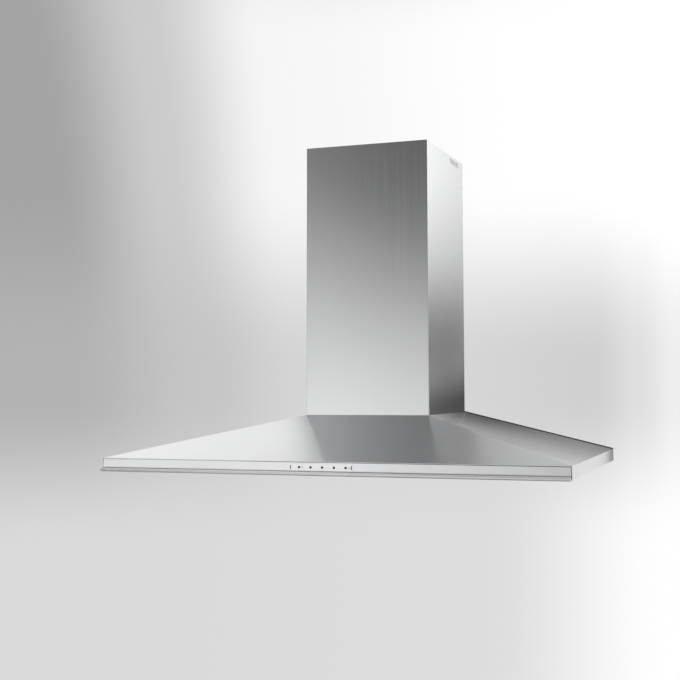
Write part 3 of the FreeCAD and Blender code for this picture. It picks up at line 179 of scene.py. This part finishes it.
def make_moulded_speckle():
    """The fine orange-peel of moulded or painted parts, and a faint film of dust."""
    tree, given, result = new_group(
        "moulded_speckle", [("Grain", "NodeSocketFloat", MOULD_GRAIN)], ["Speckle", "Dust"])
    place = own_place(tree)
    broad = noise(tree, place, scale=14.0, detail=5.0)
    feed(tree, result.inputs["Speckle"], noise(tree, place, given.outputs["Grain"], detail=2.0))
    feed(tree, result.inputs["Dust"], fade(tree, broad, *DUST_RANGE))
    return tree


BRUSHED_GRAIN = make_brushed_grain()
MOULDED_SPECKLE = make_moulded_speckle()


def new_finish(name, metallic, roughness):
    material = bpy.data.materials.new(name)
    material.use_nodes = True
    tree = material.node_tree
    shader = next(node for node in tree.nodes if node.type == "BSDF_PRINCIPLED")
    shader.inputs["Metallic"].default_value = metallic
    shader.inputs["Roughness"].default_value = roughness
    return material, tree, shader


def placed(tree, group, **values):
    node = add_node(tree, "ShaderNodeGroup")
    node.node_tree = group
    for name, setting in values.items():
        node.inputs[name].default_value = setting
    return node.outputs


SMUDGE_SHARE = 0.35
BRUSH_DEPTH = 0.4*MM
SPECKLE_DEPTH = 0.5*MM
LOOP_DEPTH = 1.0*MM


def brushed_metal(name, dark, light, stretch, smooth, rough, bump=0.012):
    material, tree, shader = new_finish(name, metallic=1.0, roughness=rough)
    grain = placed(tree, BRUSHED_GRAIN, Stretch=stretch)
    feed(tree, shader.inputs["Base Color"], tones(tree, grain["Streak"], dark, light))
    smudge = math_of(tree, "MULTIPLY", grain["Smudge"], SMUDGE_SHARE)
    streak = math_of(tree, "MULTIPLY", grain["Streak"], 1.0 - SMUDGE_SHARE)
    handled = math_of(tree, "ADD", smudge, streak)
    feed(tree, shader.inputs["Roughness"], span(tree, handled, smooth, rough))
    feed(tree, shader.inputs["Normal"], relief(tree, grain["Streak"], bump, BRUSH_DEPTH))
    return material


def moulded(name, dark, light, smooth, rough, grain=MOULD_GRAIN, bump=0.08, gloss=0.5):
    material, tree, shader = new_finish(name, metallic=0.0, roughness=rough)
    shader.inputs["Specular IOR Level"].default_value = gloss
    skin = placed(tree, MOULDED_SPECKLE, Grain=grain)
    feed(tree, shader.inputs["Base Color"], tones(tree, skin["Dust"], dark, light))
    feed(tree, shader.inputs["Roughness"], span(tree, skin["Speckle"], smooth, rough))
    feed(tree, shader.inputs["Normal"], relief(tree, skin["Speckle"], bump, SPECKLE_DEPTH))
    return material


def galvanised_sheet():
    material, tree, shader = new_finish("galvanised_spangle", metallic=1.0, roughness=0.45)
    cells = add_node(tree, "ShaderNodeTexVoronoi")
    feed(tree, cells.inputs["Vector"], own_place(tree))
    cells.inputs["Scale"].default_value = 110.0
    shade = add_node(tree, "ShaderNodeRGBToBW")
    feed(tree, shade.inputs["Color"], cells.outputs["Color"])
    grain = placed(tree, BRUSHED_GRAIN, Stretch=GRAIN_COARSE)
    mixed = math_of(tree, "MULTIPLY", math_of(tree, "ADD", shade.outputs[0], grain["Smudge"]), 0.5)
    feed(tree, shader.inputs["Base Color"], tones(tree, mixed, (0.44, 0.46, 0.47), (0.62, 0.64, 0.66)))
    feed(tree, shader.inputs["Roughness"], span(tree, shade.outputs[0], 0.34, 0.5))
    return material


def knitted_mesh():
    material, tree, shader = new_finish("knitted_mesh", metallic=1.0, roughness=0.45)
    place = own_place(tree)
    waves = []
    for direction in ("X", "Y"):
        wave = add_node(tree, "ShaderNodeTexWave", bands_direction=direction)
        feed(tree, wave.inputs["Vector"], place)
        wave.inputs["Scale"].default_value = 110.0
        wave.inputs["Distortion"].default_value = 3.0
        waves.append(wave.outputs["Fac"])
    loops = math_of(tree, "MULTIPLY", *waves)
    feed(tree, shader.inputs["Base Color"], tones(tree, loops, grey(0.04), grey(0.34)))
    feed(tree, shader.inputs["Normal"], relief(tree, loops, strength=0.6, distance=LOOP_DEPTH))
    return material


def frosted_glass():
    material, tree, shader = new_finish("frosted_lamp_glass", metallic=0.0, roughness=0.4)
    shader.inputs["Transmission Weight"].default_value = 0.35
    shader.inputs["IOR"].default_value = 1.5
    skin = placed(tree, MOULDED_SPECKLE, Grain=700.0)
    feed(tree, shader.inputs["Base Color"],
         tones(tree, skin["Dust"], (0.88, 0.9, 0.9), (0.96, 0.97, 0.97)))
    feed(tree, shader.inputs["Roughness"], span(tree, skin["Speckle"], 0.3, 0.5))
    feed(tree, shader.inputs["Normal"],
         relief(tree, skin["Speckle"], strength=0.1, distance=SPECKLE_DEPTH))
    return material


def clear_bulb():
    material, tree, shader = new_finish("clear_bulb", metallic=0.0, roughness=0.08)
    shader.inputs["Transmission Weight"].default_value = 0.5
    skin = placed(tree, MOULDED_SPECKLE, Grain=300.0)
    feed(tree, shader.inputs["Base Color"],
         tones(tree, skin["Dust"], (0.86, 0.85, 0.8), (0.95, 0.94, 0.9)))
    return material


finishes = {
    "stainless": brushed_metal(
        "stainless_along", (0.586, 0.59, 0.597), (0.631, 0.635, 0.642), GRAIN_ALONG,
        smooth=0.17, rough=0.27),
    "galvanised": galvanised_sheet(),
    "bright_trim": brushed_metal(
        "bright_trim", grey(0.74), grey(0.8), GRAIN_ALONG, smooth=0.24, rough=0.34, bump=0.005),
    "aluminium": brushed_metal(
        "satin_aluminium", grey(0.6), grey(0.7), GRAIN_INWARD, smooth=0.28, rough=0.4),
    "filter_mesh": knitted_mesh(),
    "black_plastic": moulded(
        "black_moulding", grey(0.01), grey(0.02), smooth=0.4, rough=0.6, gloss=0.25),
    "grey_plastic": moulded(
        "grey_moulding", (0.26, 0.27, 0.28), (0.34, 0.35, 0.36), smooth=0.4, rough=0.6),
    "control_silver": brushed_metal(
        "control_silver", (0.68, 0.68, 0.675), (0.76, 0.76, 0.755), GRAIN_ALONG,
        smooth=0.22, rough=0.32),
    "lamp_glass": frosted_glass(),
    "bulb": clear_bulb(),
    "circuit_board": moulded(
        "board_lacquer", (0.02, 0.13, 0.05), (0.04, 0.18, 0.07), smooth=0.3, rough=0.45),
    "motor_paint": moulded(
        "motor_enamel", (0.15, 0.15, 0.16), (0.2, 0.2, 0.21), smooth=0.3, rough=0.5,
        grain=400.0, bump=0.15),
    "screw_steel": brushed_metal(
        "bright_zinc", (0.5, 0.5, 0.51), (0.6, 0.6, 0.61), GRAIN_EVEN, smooth=0.25, rough=0.4),
}
upright_steel = brushed_metal(
    "stainless_upright", (0.599, 0.603, 0.609), (0.618, 0.622, 0.628), GRAIN_UPRIGHT,
    smooth=0.185, rough=0.22, bump=0.003)
# painted shade: a grey strip that stands in for the shadow line in the seam above the fascia
painted_seam_shade = moulded(
    "painted_seam_shade", grey(0.18), grey(0.23), smooth=0.6, rough=0.8, grain=600.0, bump=0.1, gloss=0.2)
# painted shade: a dark strip under the front lip that stands in for the shade line along its bottom
painted_lip_shade = moulded(
    "painted_lip_shade", grey(0.09), grey(0.12), smooth=0.6, rough=0.8, grain=600.0, bump=0.1, gloss=0.2)
# painted shade: a dark strip that stands in for the shadow line where the canopy meets the wall
painted_wall_shade = moulded(
    "painted_wall_shade", (0.1, 0.1, 0.102), (0.14, 0.14, 0.142), smooth=0.7, rough=0.9,
    grain=600.0, bump=0.2, gloss=0.2)
UPRIGHT_SHEETS = ("lower_chimney", "upper_chimney")


def wear(piece, material):
    piece.data.materials.clear()
    piece.data.materials.append(material)


for row in frame["record"]["subparts"]:
    sheet = upright_steel if row["node"] in UPRIGHT_SHEETS else finishes[row["material_slot"]]
    wear(nodes[row["node"]], sheet)

# Rounded edges of the folded sheets
FOLDED_SHEETS = ("canopy_shell", "front_fascia", "bottom_pan", "control_plate")
FOLD_WIDTH = 0.25*MM
FOLD_ANGLE = math.radians(14.0)
EDGE_SEGMENTS = 2
WELD_REACH = 0.01*MM
FLAT_ANGLE = math.radians(0.5)


def round_edges(name):
    piece = nodes[name]
    weld = piece.modifiers.new("joined", "WELD")
    weld.merge_threshold = WELD_REACH
    flat = piece.modifiers.new("flat_faces", "DECIMATE")
    flat.decimate_type = "DISSOLVE"
    flat.angle_limit = FLAT_ANGLE
    bevel = piece.modifiers.new("fold", "BEVEL")
    bevel.width = FOLD_WIDTH
    bevel.segments = EDGE_SEGMENTS
    bevel.limit_method = "ANGLE"
    bevel.angle_limit = FOLD_ANGLE
    bevel.harden_normals = True


for sheet_name in FOLDED_SHEETS:
    round_edges(sheet_name)


# Added pieces
def add_object(name, mesh):
    data = bpy.data.meshes.new(name)
    mesh.to_mesh(data)
    mesh.free()
    piece = bpy.data.objects.new(name, data)
    scene.collection.objects.link(piece)
    return piece


def new_piece(name, mesh, slot, body, material=None):
    bmesh.ops.recalc_face_normals(mesh, faces=mesh.faces)
    piece = add_object(name, mesh)
    wear(piece, material or finishes[slot])
    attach(piece, body)
    return piece


def join_loops(mesh, first, second):
    """A closed band of faces between two loops of equal count."""
    for k in range(len(first)):
        following = (k + 1) % len(first)
        mesh.faces.new((first[k], first[following], second[following], second[k]))


def add_slab(mesh, corners, low, high, axis):
    """A flat prism over a polygon, from low to high along one axis."""
    def spot(corner, level):
        place = list(corner)
        place.insert(axis, level)
        return mesh.verts.new(place)
    lower = [spot(corner, low) for corner in corners]
    upper = [spot(corner, high) for corner in corners]
    mesh.faces.new(lower[::-1])
    mesh.faces.new(upper)
    join_loops(mesh, lower, upper)


def strip_corners(start, end, width):
    along = (Vector(end) - Vector(start)).normalized()
    aside = Vector((-along.y, along.x))*(width/2.0)
    return [Vector(start) - aside, Vector(end) - aside, Vector(end) + aside, Vector(start) + aside]


def ring_points(across, along, radius, count, start=0.0):
    turns = [start + 2.0*math.pi*k/count for k in range(count)]
    return [Vector((across + radius*math.cos(turn), along + radius*math.sin(turn))) for turn in turns]


WIRE_PITCH = 6.0*MM
WIRE_WIDTH = 1.3*MM
WIRE_THICK = 0.24*MM
WIRE_LIFT = 0.22*MM
WIRE_INSET = 10.0*MM
WIRE_SHORTEST = 4.0*MM
WIRE_SLANT = math.radians(38.0)


def clip_line(anchor, way, low, high):
    """The stretch of a line inside a rectangle, as its two ends, or None if it is too short."""
    enter, leave = -math.inf, math.inf
    for axis in (0, 1):
        first = (low[axis] - anchor[axis])/way[axis]
        second = (high[axis] - anchor[axis])/way[axis]
        enter = max(enter, min(first, second))
        leave = min(leave, max(first, second))
    if leave - enter < WIRE_SHORTEST:
        return None
    return anchor + way*enter, anchor + way*leave


def weave_filter(side):
    """Slanting wires of the front mesh layer, seen through the face openings."""
    low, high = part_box(f"filter_grille_{side}")
    inset = Vector((WIRE_INSET, WIRE_INSET))
    corner_low = low.xy + inset
    corner_high = high.xy - inset
    centre = (corner_low + corner_high)/2.0
    reach = int((corner_high - corner_low).length/2.0/WIRE_PITCH)
    mesh = bmesh.new()
    for layer, slant in enumerate((WIRE_SLANT, math.pi - WIRE_SLANT)):
        way = Vector((math.cos(slant), math.sin(slant)))
        aside = Vector((-way.y, way.x))
        base = low.z + WIRE_LIFT + WIRE_THICK*layer
        for k in range(-reach, reach + 1):
            ends = clip_line(centre + aside*(k*WIRE_PITCH), way, corner_low, corner_high)
            if ends:
                add_slab(mesh, strip_corners(*ends, WIRE_WIDTH), base, base + WIRE_THICK, 2)
    return new_piece(f"filter_wires_{side}", mesh, "filter_mesh", f"{side}_filter", finishes["aluminium"])


for filter_side in ("left", "right"):
    weave_filter(filter_side)

RING_RADII = (7.0*MM, 12.5*MM, 18.0*MM, 23.0*MM)
RING_HALF = 1.1*MM
RING_DEPTH = 0.8*MM
RING_STEPS = 56


def lens_rings(side):
    """Raised rings pressed into the underside of a lamp glass."""
    low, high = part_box(f"lamp_glass_{side}")
    centre = (low + high)/2.0
    mesh = bmesh.new()
    for radius in RING_RADII:
        loops = []
        for out, drop in ((-RING_HALF, 0.0), (0.0, RING_DEPTH), (RING_HALF, 0.0)):
            points = ring_points(centre.x, centre.y, radius + out, RING_STEPS)
            loops.append([mesh.verts.new((*point, low.z - drop)) for point in points])
        for outer, inner in zip(loops, loops[1:] + loops[:1]):
            join_loops(mesh, inner, outer)
    return new_piece(f"lens_rings_{side}", mesh, "lamp_glass", "hood")


for lamp_side in ("left", "right"):
    lens_rings(lamp_side)

# Signs of the control strip, and painted shade at its ends
strip_low, strip_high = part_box("control_plate")
strip_level = (strip_low.z + strip_high.z)/2.0
MARK_OFFSET = 6.0*MM
MARK_THICK = 0.06*MM
GLOBE_RADIUS = 1.0*MM
GLOBE_RISE = 0.4*MM
GLOBE_STEPS = 16
CAP_HALF = 0.5*MM
CAP_DROP = 1.3*MM
CAP_THICK = 0.5*MM
RAY_COUNT = 5
RAY_START = 1.4*MM
RAY_END = 2.1*MM
RAY_WIDTH = 0.35*MM
LEVEL_PITCH = 1.2*MM
LEVEL_WIDTH = 0.7*MM
LEVEL_DROP = 1.5*MM
LEVEL_FIRST = 1.4*MM
LEVEL_STEP = 0.8*MM


def button_mark(name, draw):
    """A thin printed sign on the control plate, beside its button."""
    low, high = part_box(f"button_{name}")
    centre = (low + high)/2.0
    mesh = bmesh.new()
    for corners in draw(centre.x + MARK_OFFSET, centre.z):
        add_slab(mesh, corners, strip_low.y - MARK_THICK, strip_low.y + MARK_THICK, 1)
    return new_piece(f"mark_{name}", mesh, "black_plastic", "hood", finishes["grey_plastic"])


def draw_lamp(x, z):
    middle = Vector((x, z + GLOBE_RISE))
    shapes = [ring_points(x, z + GLOBE_RISE, GLOBE_RADIUS, GLOBE_STEPS)]
    shapes.append(strip_corners((x - CAP_HALF, z - CAP_DROP), (x + CAP_HALF, z - CAP_DROP), CAP_THICK))
    for k in range(RAY_COUNT):
        turn = math.pi*k/(RAY_COUNT - 1)
        along = Vector((math.cos(turn), math.sin(turn)))
        shapes.append(strip_corners(middle + along*RAY_START, middle + along*RAY_END, RAY_WIDTH))
    return shapes


def draw_bars(count):
    def draw(x, z):
        foot = z - LEVEL_DROP
        shapes = []
        for k in range(count):
            place = x + (k - (count - 1)/2)*LEVEL_PITCH
            top = foot + LEVEL_FIRST + LEVEL_STEP*k
            shapes.append(strip_corners((place, foot), (place, top), LEVEL_WIDTH))
        return shapes
    return draw


button_mark("lamp", draw_lamp)
button_mark("low", draw_bars(1))
button_mark("high", draw_bars(3))

BAR_WIDTH = 1.5*MM
BAR_HEIGHT = 6.6*MM
BAR_INSET = 2.4*MM
BAR_SINK = 0.18*MM
BAR_STEPS = 12


def end_shade_bar(name, x):
    """A dark bar with round ends at one end of the control strip: painted shade in the end of its recess.
    """
    half = (BAR_HEIGHT - BAR_WIDTH)/2.0
    bow = BAR_STEPS//2 + 1
    upper = ring_points(x, strip_level + half, BAR_WIDTH/2.0, BAR_STEPS)[:bow]
    lower = ring_points(x, strip_level - half, BAR_WIDTH/2.0, BAR_STEPS, math.pi)[:bow]
    mesh = bmesh.new()
    add_slab(mesh, upper + lower, strip_low.y - MARK_THICK, strip_low.y + BAR_SINK, 1)
    return new_piece(name, mesh, "black_plastic", "hood")


# painted shade at both ends of the control strip
end_shade_bar("strip_end_left", strip_low.x + BAR_INSET)
end_shade_bar("strip_end_right", strip_high.x - BAR_INSET)

# Thin strips in the front seams, painted shade lines above the fascia and under the lip
SEAM_INSET = 0.35*MM
SEAM_DEPTH = 4.0*MM
SEAM_HEIGHT = 0.8*MM
SEAM_LEAN = 0.2*MM
LIP_SHADE_INSET = 2.6*MM
LIP_SHADE_DEPTH = 5.0*MM
LIP_SHADE_SPREAD = 1.0*MM
LIP_SHADE_DROP = 0.6*MM
LIP_SHADE_SINK = 0.1*MM
fascia_low, fascia_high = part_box("front_fascia")
lip_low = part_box("front_lip")[0]


def front_strip(name, corners, material):
    """A strip with the given section, running the whole width of the fascia."""
    mesh = bmesh.new()
    add_slab(mesh, corners, fascia_low.x, fascia_high.x, 0)
    return new_piece(name, mesh, "grey_plastic", "hood", material)


seam_face = fascia_low.y + SEAM_INSET
seam_back = seam_face + SEAM_DEPTH
seam_foot = fascia_high.z
seam_top = seam_foot + SEAM_HEIGHT
# painted shade line in the seam above the fascia
front_strip("seam_shade_strip", [
    (seam_face, seam_foot), (seam_back, seam_foot), (seam_back, seam_top),
    (seam_face + SEAM_LEAN, seam_top)], painted_seam_shade)
# painted shade line under the front lip
lip_shade_face = lip_low.y + LIP_SHADE_INSET
lip_shade_back = lip_shade_face + LIP_SHADE_DEPTH
lip_shade_foot = lip_low.z - LIP_SHADE_DROP
lip_shade_top = lip_low.z + LIP_SHADE_SINK
front_strip("lip_shade_strip", [
    (lip_shade_face, lip_shade_foot), (lip_shade_back, lip_shade_foot), (lip_shade_back + LIP_SHADE_SPREAD, lip_shade_top),
    (lip_shade_face, lip_shade_top)], painted_lip_shade)

# Painted shade along the wall
WALL_SHADE_THICK = 2.2*MM
WALL_SHADE_HEIGHT = 1.6*MM
WALL_SHADE_EDGE = 0.5*MM
SKIRT_HEIGHT = 24.0*MM
canopy_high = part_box("canopy_shell")[1]
chimney_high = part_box("lower_chimney")[1]


def wall_shade(way, name):
    """A soft dark strip along the rear edge of one shoulder, where the canopy meets the wall: painted
    shade standing in for the shadow line there.
    """
    outer = Vector((way*canopy_high.x, SKIRT_HEIGHT))
    inner = Vector((way*chimney_high.x, canopy_high.z))
    along = (inner - outer).normalized()
    lift = Vector((-along.y, along.x))*way*-WALL_SHADE_HEIGHT
    mesh = bmesh.new()
    add_slab(mesh, [outer, inner, inner + lift, outer + lift], -WALL_SHADE_THICK, 0.0, 1)
    piece = new_piece(name, mesh, "black_plastic", "hood", painted_wall_shade)
    soften = piece.modifiers.new("soft_edge", "BEVEL")
    soften.width = WALL_SHADE_EDGE
    soften.segments = EDGE_SEGMENTS
    return piece


wall_shade(1, "wall_shade_right")
wall_shade(-1, "wall_shade_left")

# Floor
FLOOR_LEVEL = -1.0
FLOOR_RADIUS = 1.7
FLOOR_SOLID = 0.6
FLOOR_STEPS = 96
floor_mesh = bmesh.new()
bmesh.ops.create_circle(floor_mesh, cap_ends=True, segments=FLOOR_STEPS, radius=FLOOR_RADIUS)
floor = add_object("studio_floor", floor_mesh)
floor.location.z = FLOOR_LEVEL
floor_finish, floor_tree, floor_shader = new_finish("pale_floor", metallic=0.0, roughness=0.7)
floor_skin = placed(floor_tree, MOULDED_SPECKLE, Grain=200.0)
feed(floor_tree, floor_shader.inputs["Base Color"],
     tones(floor_tree, floor_skin["Dust"], grey(0.86), grey(0.88)))
floor_reach = add_node(floor_tree, "ShaderNodeVectorMath", operation="LENGTH")
feed(floor_tree, floor_reach.inputs[0], own_place(floor_tree))
feed(floor_tree, floor_shader.inputs["Alpha"],
     span(floor_tree, floor_reach.outputs["Value"], 1.0, 0.0, FLOOR_SOLID, FLOOR_RADIUS, smooth=True))
wear(floor, floor_finish)


# Lights and card
def softbox(name, spot, target, width, height, power, mirrored=True):
    data = bpy.data.lights.new(name, "AREA")
    data.shape = "RECTANGLE"
    data.size = width
    data.size_y = height
    data.energy = power
    lamp = bpy.data.objects.new(name, data)
    lamp.location = spot
    lamp.rotation_euler = (Vector(target) - Vector(spot)).to_track_quat("-Z", "Y").to_euler()
    lamp.visible_camera = False
    lamp.visible_glossy = mirrored
    scene.collection.objects.link(lamp)


softbox(
    "left_softbox", spot=(-1.37, 0.95, 1.15), target=(-0.3, -0.4, 0.05),
    width=0.97, height=0.9, power=2.4)
softbox(
    "seam_fill", spot=(-0.33, -0.62, 0.07), target=(-0.33, -0.5, 0.024),
    width=0.36, height=0.03, power=0.7, mirrored=False)

CARD_CORNERS = ((0.09, 0.04, 0.06), (0.47, 0.04, -0.02), (0.47, 0.04, 0.16), (0.09, 0.04, 0.26))
CARD_SHADE = 0.03
CARD_COVER = 0.88
CARD_RISE = (0.02, 0.13)
CARD_INNER_END = (0.09, 0.13)
CARD_OUTER_COVER = 0.78
CARD_OUTER_END = (0.15, 0.4)
SHOULDER_FALL = (canopy_high.z - SKIRT_HEIGHT)/(canopy_high.x - chimney_high.x)
SHOULDER_LEVEL = SKIRT_HEIGHT + SHOULDER_FALL*canopy_high.x


def shade_card():
    """A low dark card behind the right shoulder, following its slope and fading upwards: painted shade,
    hidden from the camera, that darkens what the right shoulder and chimney reflect.
    """
    mesh = bmesh.new()
    mesh.faces.new([mesh.verts.new(corner) for corner in CARD_CORNERS])
    card = add_object("shade_card", mesh)
    material, tree, shader = new_finish("card_painted_shade", metallic=0.0, roughness=1.0)
    shader.inputs["Base Color"].default_value = (*grey(CARD_SHADE), 1.0)
    shader.inputs["Specular IOR Level"].default_value = 0.0
    split = add_node(tree, "ShaderNodeSeparateXYZ")
    feed(tree, split.inputs[0], own_place(tree))
    across = split.outputs["X"]
    fall = math_of(tree, "MULTIPLY", across, SHOULDER_FALL)
    level = math_of(tree, "ADD", split.outputs["Z"], fall)
    above = math_of(tree, "SUBTRACT", level, SHOULDER_LEVEL)
    upward = span(tree, above, CARD_COVER, 0.0, *CARD_RISE, smooth=True)
    outward = span(tree, across, 1.0, CARD_OUTER_COVER, *CARD_OUTER_END, smooth=True)
    sideways = math_of(tree, "MULTIPLY", outward, fade(tree, across, *CARD_INNER_END))
    feed(tree, shader.inputs["Alpha"], math_of(tree, "MULTIPLY", upward, sideways))
    wear(card, material)
    card.visible_camera = False
    card.visible_shadow = False


shade_card()

# Studio surround: stops of (height, level) for a rise and (side, level) for a sweep
FRONT_RISE = (
    (-1.0, 0.8), (-0.3, 1.0), (-0.16, 1.3), (-0.04, 1.4), (0.05, 0.92), (0.12, 0.42),
    (0.21, 0.1), (0.3, 0.2), (0.42, 0.6), (0.62, 0.66), (0.8, 0.85), (1.0, 1.0))
LEFT_RISE = (
    (-1.0, 0.8), (-0.3, 1.0), (-0.16, 1.3), (-0.04, 1.36), (0.05, 0.9), (0.14, 0.56),
    (0.3, 0.46), (0.5, 0.58), (0.62, 0.66), (0.8, 0.85), (1.0, 1.0))
RIGHT_RISE = (
    (-1.0, 0.9), (-0.12, 0.95), (-0.06, 0.95), (-0.03, 0.8), (-0.01, 0.34), (0.015, 0.05),
    (0.046, 0.14), (0.064, 0.25), (0.08, 0.46), (0.12, 0.82), (0.165, 1.08), (0.2, 1.2),
    (0.4, 0.85), (0.6, 0.35), (1.0, 0.9))
FLOOR_FRONT_SWEEP = (
    (-1.0, 0.08), (-0.55, 0.08), (-0.52, 0.24), (-0.48, 0.66), (-0.44, 0.86), (-0.38, 1.0),
    (1.0, 1.0))
LOW_FRONT_SWEEP = (
    (-1.0, 0.8), (-0.5, 1.0), (-0.38, 1.07), (-0.28, 0.92), (-0.14, 0.58), (0.1, 0.5),
    (0.5, 0.8), (1.0, 0.9))
HIGH_FRONT_SWEEP = (
    (-1.0, 0.6), (-0.52, 0.62), (-0.47, 1.4), (-0.41, 2.3), (-0.385, 1.9), (-0.365, 0.9),
    (-0.345, 0.46), (-0.32, 0.38), (-0.26, 0.42), (-0.2, 0.66), (-0.1, 0.7), (0.1, 0.6),
    (0.5, 0.8), (1.0, 0.9))
LOW_BACK_SWEEP = (
    (-1.0, 0.7), (-0.55, 0.7), (-0.25, 0.72), (-0.08, 1.0), (0.4, 1.1), (1.0, 0.9))
MIDDLE_BACK_SWEEP = (
    (-1.0, 0.4), (-0.58, 0.45), (-0.48, 0.56), (-0.4, 0.66), (-0.28, 0.67), (-0.15, 0.63),
    (-0.11, 0.74), (-0.08, 0.86), (0.05, 1.0), (0.3, 1.15), (1.0, 0.9))
UPPER_BACK_SWEEP = (
    (-1.0, 0.34), (-0.58, 0.37), (-0.5, 0.6), (-0.41, 0.92), (-0.2, 1.0), (0.2, 1.3),
    (1.0, 1.0))
HIGH_BACK_SWEEP = (
    (-1.0, 0.7), (-0.4, 0.4), (-0.29, 0.36), (-0.25, 0.5), (-0.22, 0.74), (-0.12, 0.84),
    (0.5, 0.9), (1.0, 0.9))
# Where one part of the surround fades into the next
LEFT_TO_FRONT = (-0.54, -0.48)
BACK_TO_RIGHT = (0.17, 0.22)
FRONT_TO_BACK = (-0.25, 0.25)
FLOOR_TO_FRONT = (-0.3, -0.13)
LOW_TO_HIGH_FRONT = (0.0, 0.2)
LOW_TO_MIDDLE_BACK = (-0.14, -0.01)
MIDDLE_TO_UPPER_BACK = (0.02, 0.18)
UPPER_TO_HIGH_BACK = (0.3, 0.5)
RIGHT_SLANT_FOOT = (-0.06, -0.02)
RIGHT_SLANT_SIDES = (0.215, 0.325)
RIGHT_SLANT_LEVELS = (0.04, 1.72)


def front_surround(tree, side, height):
    left = ramp(tree, height, LEFT_RISE)
    rise = blended(tree, fade(tree, side, *LEFT_TO_FRONT), left, ramp(tree, height, FRONT_RISE))
    sweep = blended(
        tree, fade(tree, height, *LOW_TO_HIGH_FRONT), ramp(tree, side, LOW_FRONT_SWEEP),
        ramp(tree, side, HIGH_FRONT_SWEEP))
    front = vector_of(tree, "MULTIPLY", rise, sweep)
    shaded = vector_of(tree, "MULTIPLY", front, ramp(tree, side, FLOOR_FRONT_SWEEP))
    return blended(tree, fade(tree, height, *FLOOR_TO_FRONT), shaded, front)


def back_surround(tree, side, height):
    back = ramp(tree, side, LOW_BACK_SWEEP)
    for heights, stops in (
            (LOW_TO_MIDDLE_BACK, MIDDLE_BACK_SWEEP),
            (MIDDLE_TO_UPPER_BACK, UPPER_BACK_SWEEP),
            (UPPER_TO_HIGH_BACK, HIGH_BACK_SWEEP)):
        back = blended(tree, fade(tree, height, *heights), back, ramp(tree, side, stops))
    return back


def right_surround(tree, side, height):
    slant = span(tree, side, *RIGHT_SLANT_LEVELS, *RIGHT_SLANT_SIDES)
    sweep = blended(tree, fade(tree, height, *RIGHT_SLANT_FOOT), WHITE, slant)
    return vector_of(tree, "MULTIPLY", ramp(tree, height, RIGHT_RISE), sweep)


def studio_surround():
    """A plain studio round the hood: bright low in front, grey to white behind, soft overhead."""
    world = bpy.data.worlds.new("studio_surround")
    world.use_nodes = True
    tree = world.node_tree
    tree.nodes.clear()
    split = add_node(tree, "ShaderNodeSeparateXYZ")
    feed(tree, split.inputs[0], add_node(tree, "ShaderNodeTexCoord").outputs["Generated"])
    side, depth, height = split.outputs
    seen = add_node(tree, "ShaderNodeLightPath").outputs["Is Camera Ray"]
    unseen = math_of(tree, "SUBTRACT", 1.0, seen)
    to_right = math_of(tree, "MULTIPLY", fade(tree, side, *BACK_TO_RIGHT), unseen)
    back = blended(
        tree, to_right, back_surround(tree, side, height), right_surround(tree, side, height))
    front = front_surround(tree, side, height)
    shade = add_node(tree, "ShaderNodeBackground")
    feed(tree, shade.inputs["Color"], blended(tree, fade(tree, depth, *FRONT_TO_BACK), front, back))
    out = add_node(tree, "ShaderNodeOutputWorld")
    tree.links.new(shade.outputs[0], out.inputs["Surface"])
    scene.world = world


studio_surround()

# Camera
CAMERA_SPOT = Vector((0.7676, -2.3331, 0.1618))
CAMERA_YAW = 0.31759
CAMERA_PITCH = 0.07125
CAMERA_ROLL = -0.00582
CAMERA_NEAR = 0.05
SENSOR_WIDTH = 36.0
FOCAL = 58.4
SHIFT = (-0.0996, -0.0516)


def aim_camera():
    data = bpy.data.cameras.new("photo_view")
    data.sensor_width = SENSOR_WIDTH
    data.lens = FOCAL
    data.shift_x, data.shift_y = SHIFT
    data.clip_start = CAMERA_NEAR
    camera = bpy.data.objects.new("photo_view", data)
    ahead = Vector((
        -math.sin(CAMERA_YAW)*math.cos(CAMERA_PITCH), math.cos(CAMERA_YAW)*math.cos(CAMERA_PITCH),
        math.sin(CAMERA_PITCH)))
    right = Vector((math.cos(CAMERA_YAW), math.sin(CAMERA_YAW), 0.0))
    up = right.cross(ahead)
    turned_right = right*math.cos(CAMERA_ROLL) + up*math.sin(CAMERA_ROLL)
    turned_up = up*math.cos(CAMERA_ROLL) - right*math.sin(CAMERA_ROLL)
    turn = Matrix((turned_right, turned_up, -ahead)).transposed()
    camera.matrix_world = Matrix.Translation(CAMERA_SPOT) @ turn.to_4x4()
    scene.collection.objects.link(camera)
    scene.camera = camera


aim_camera()
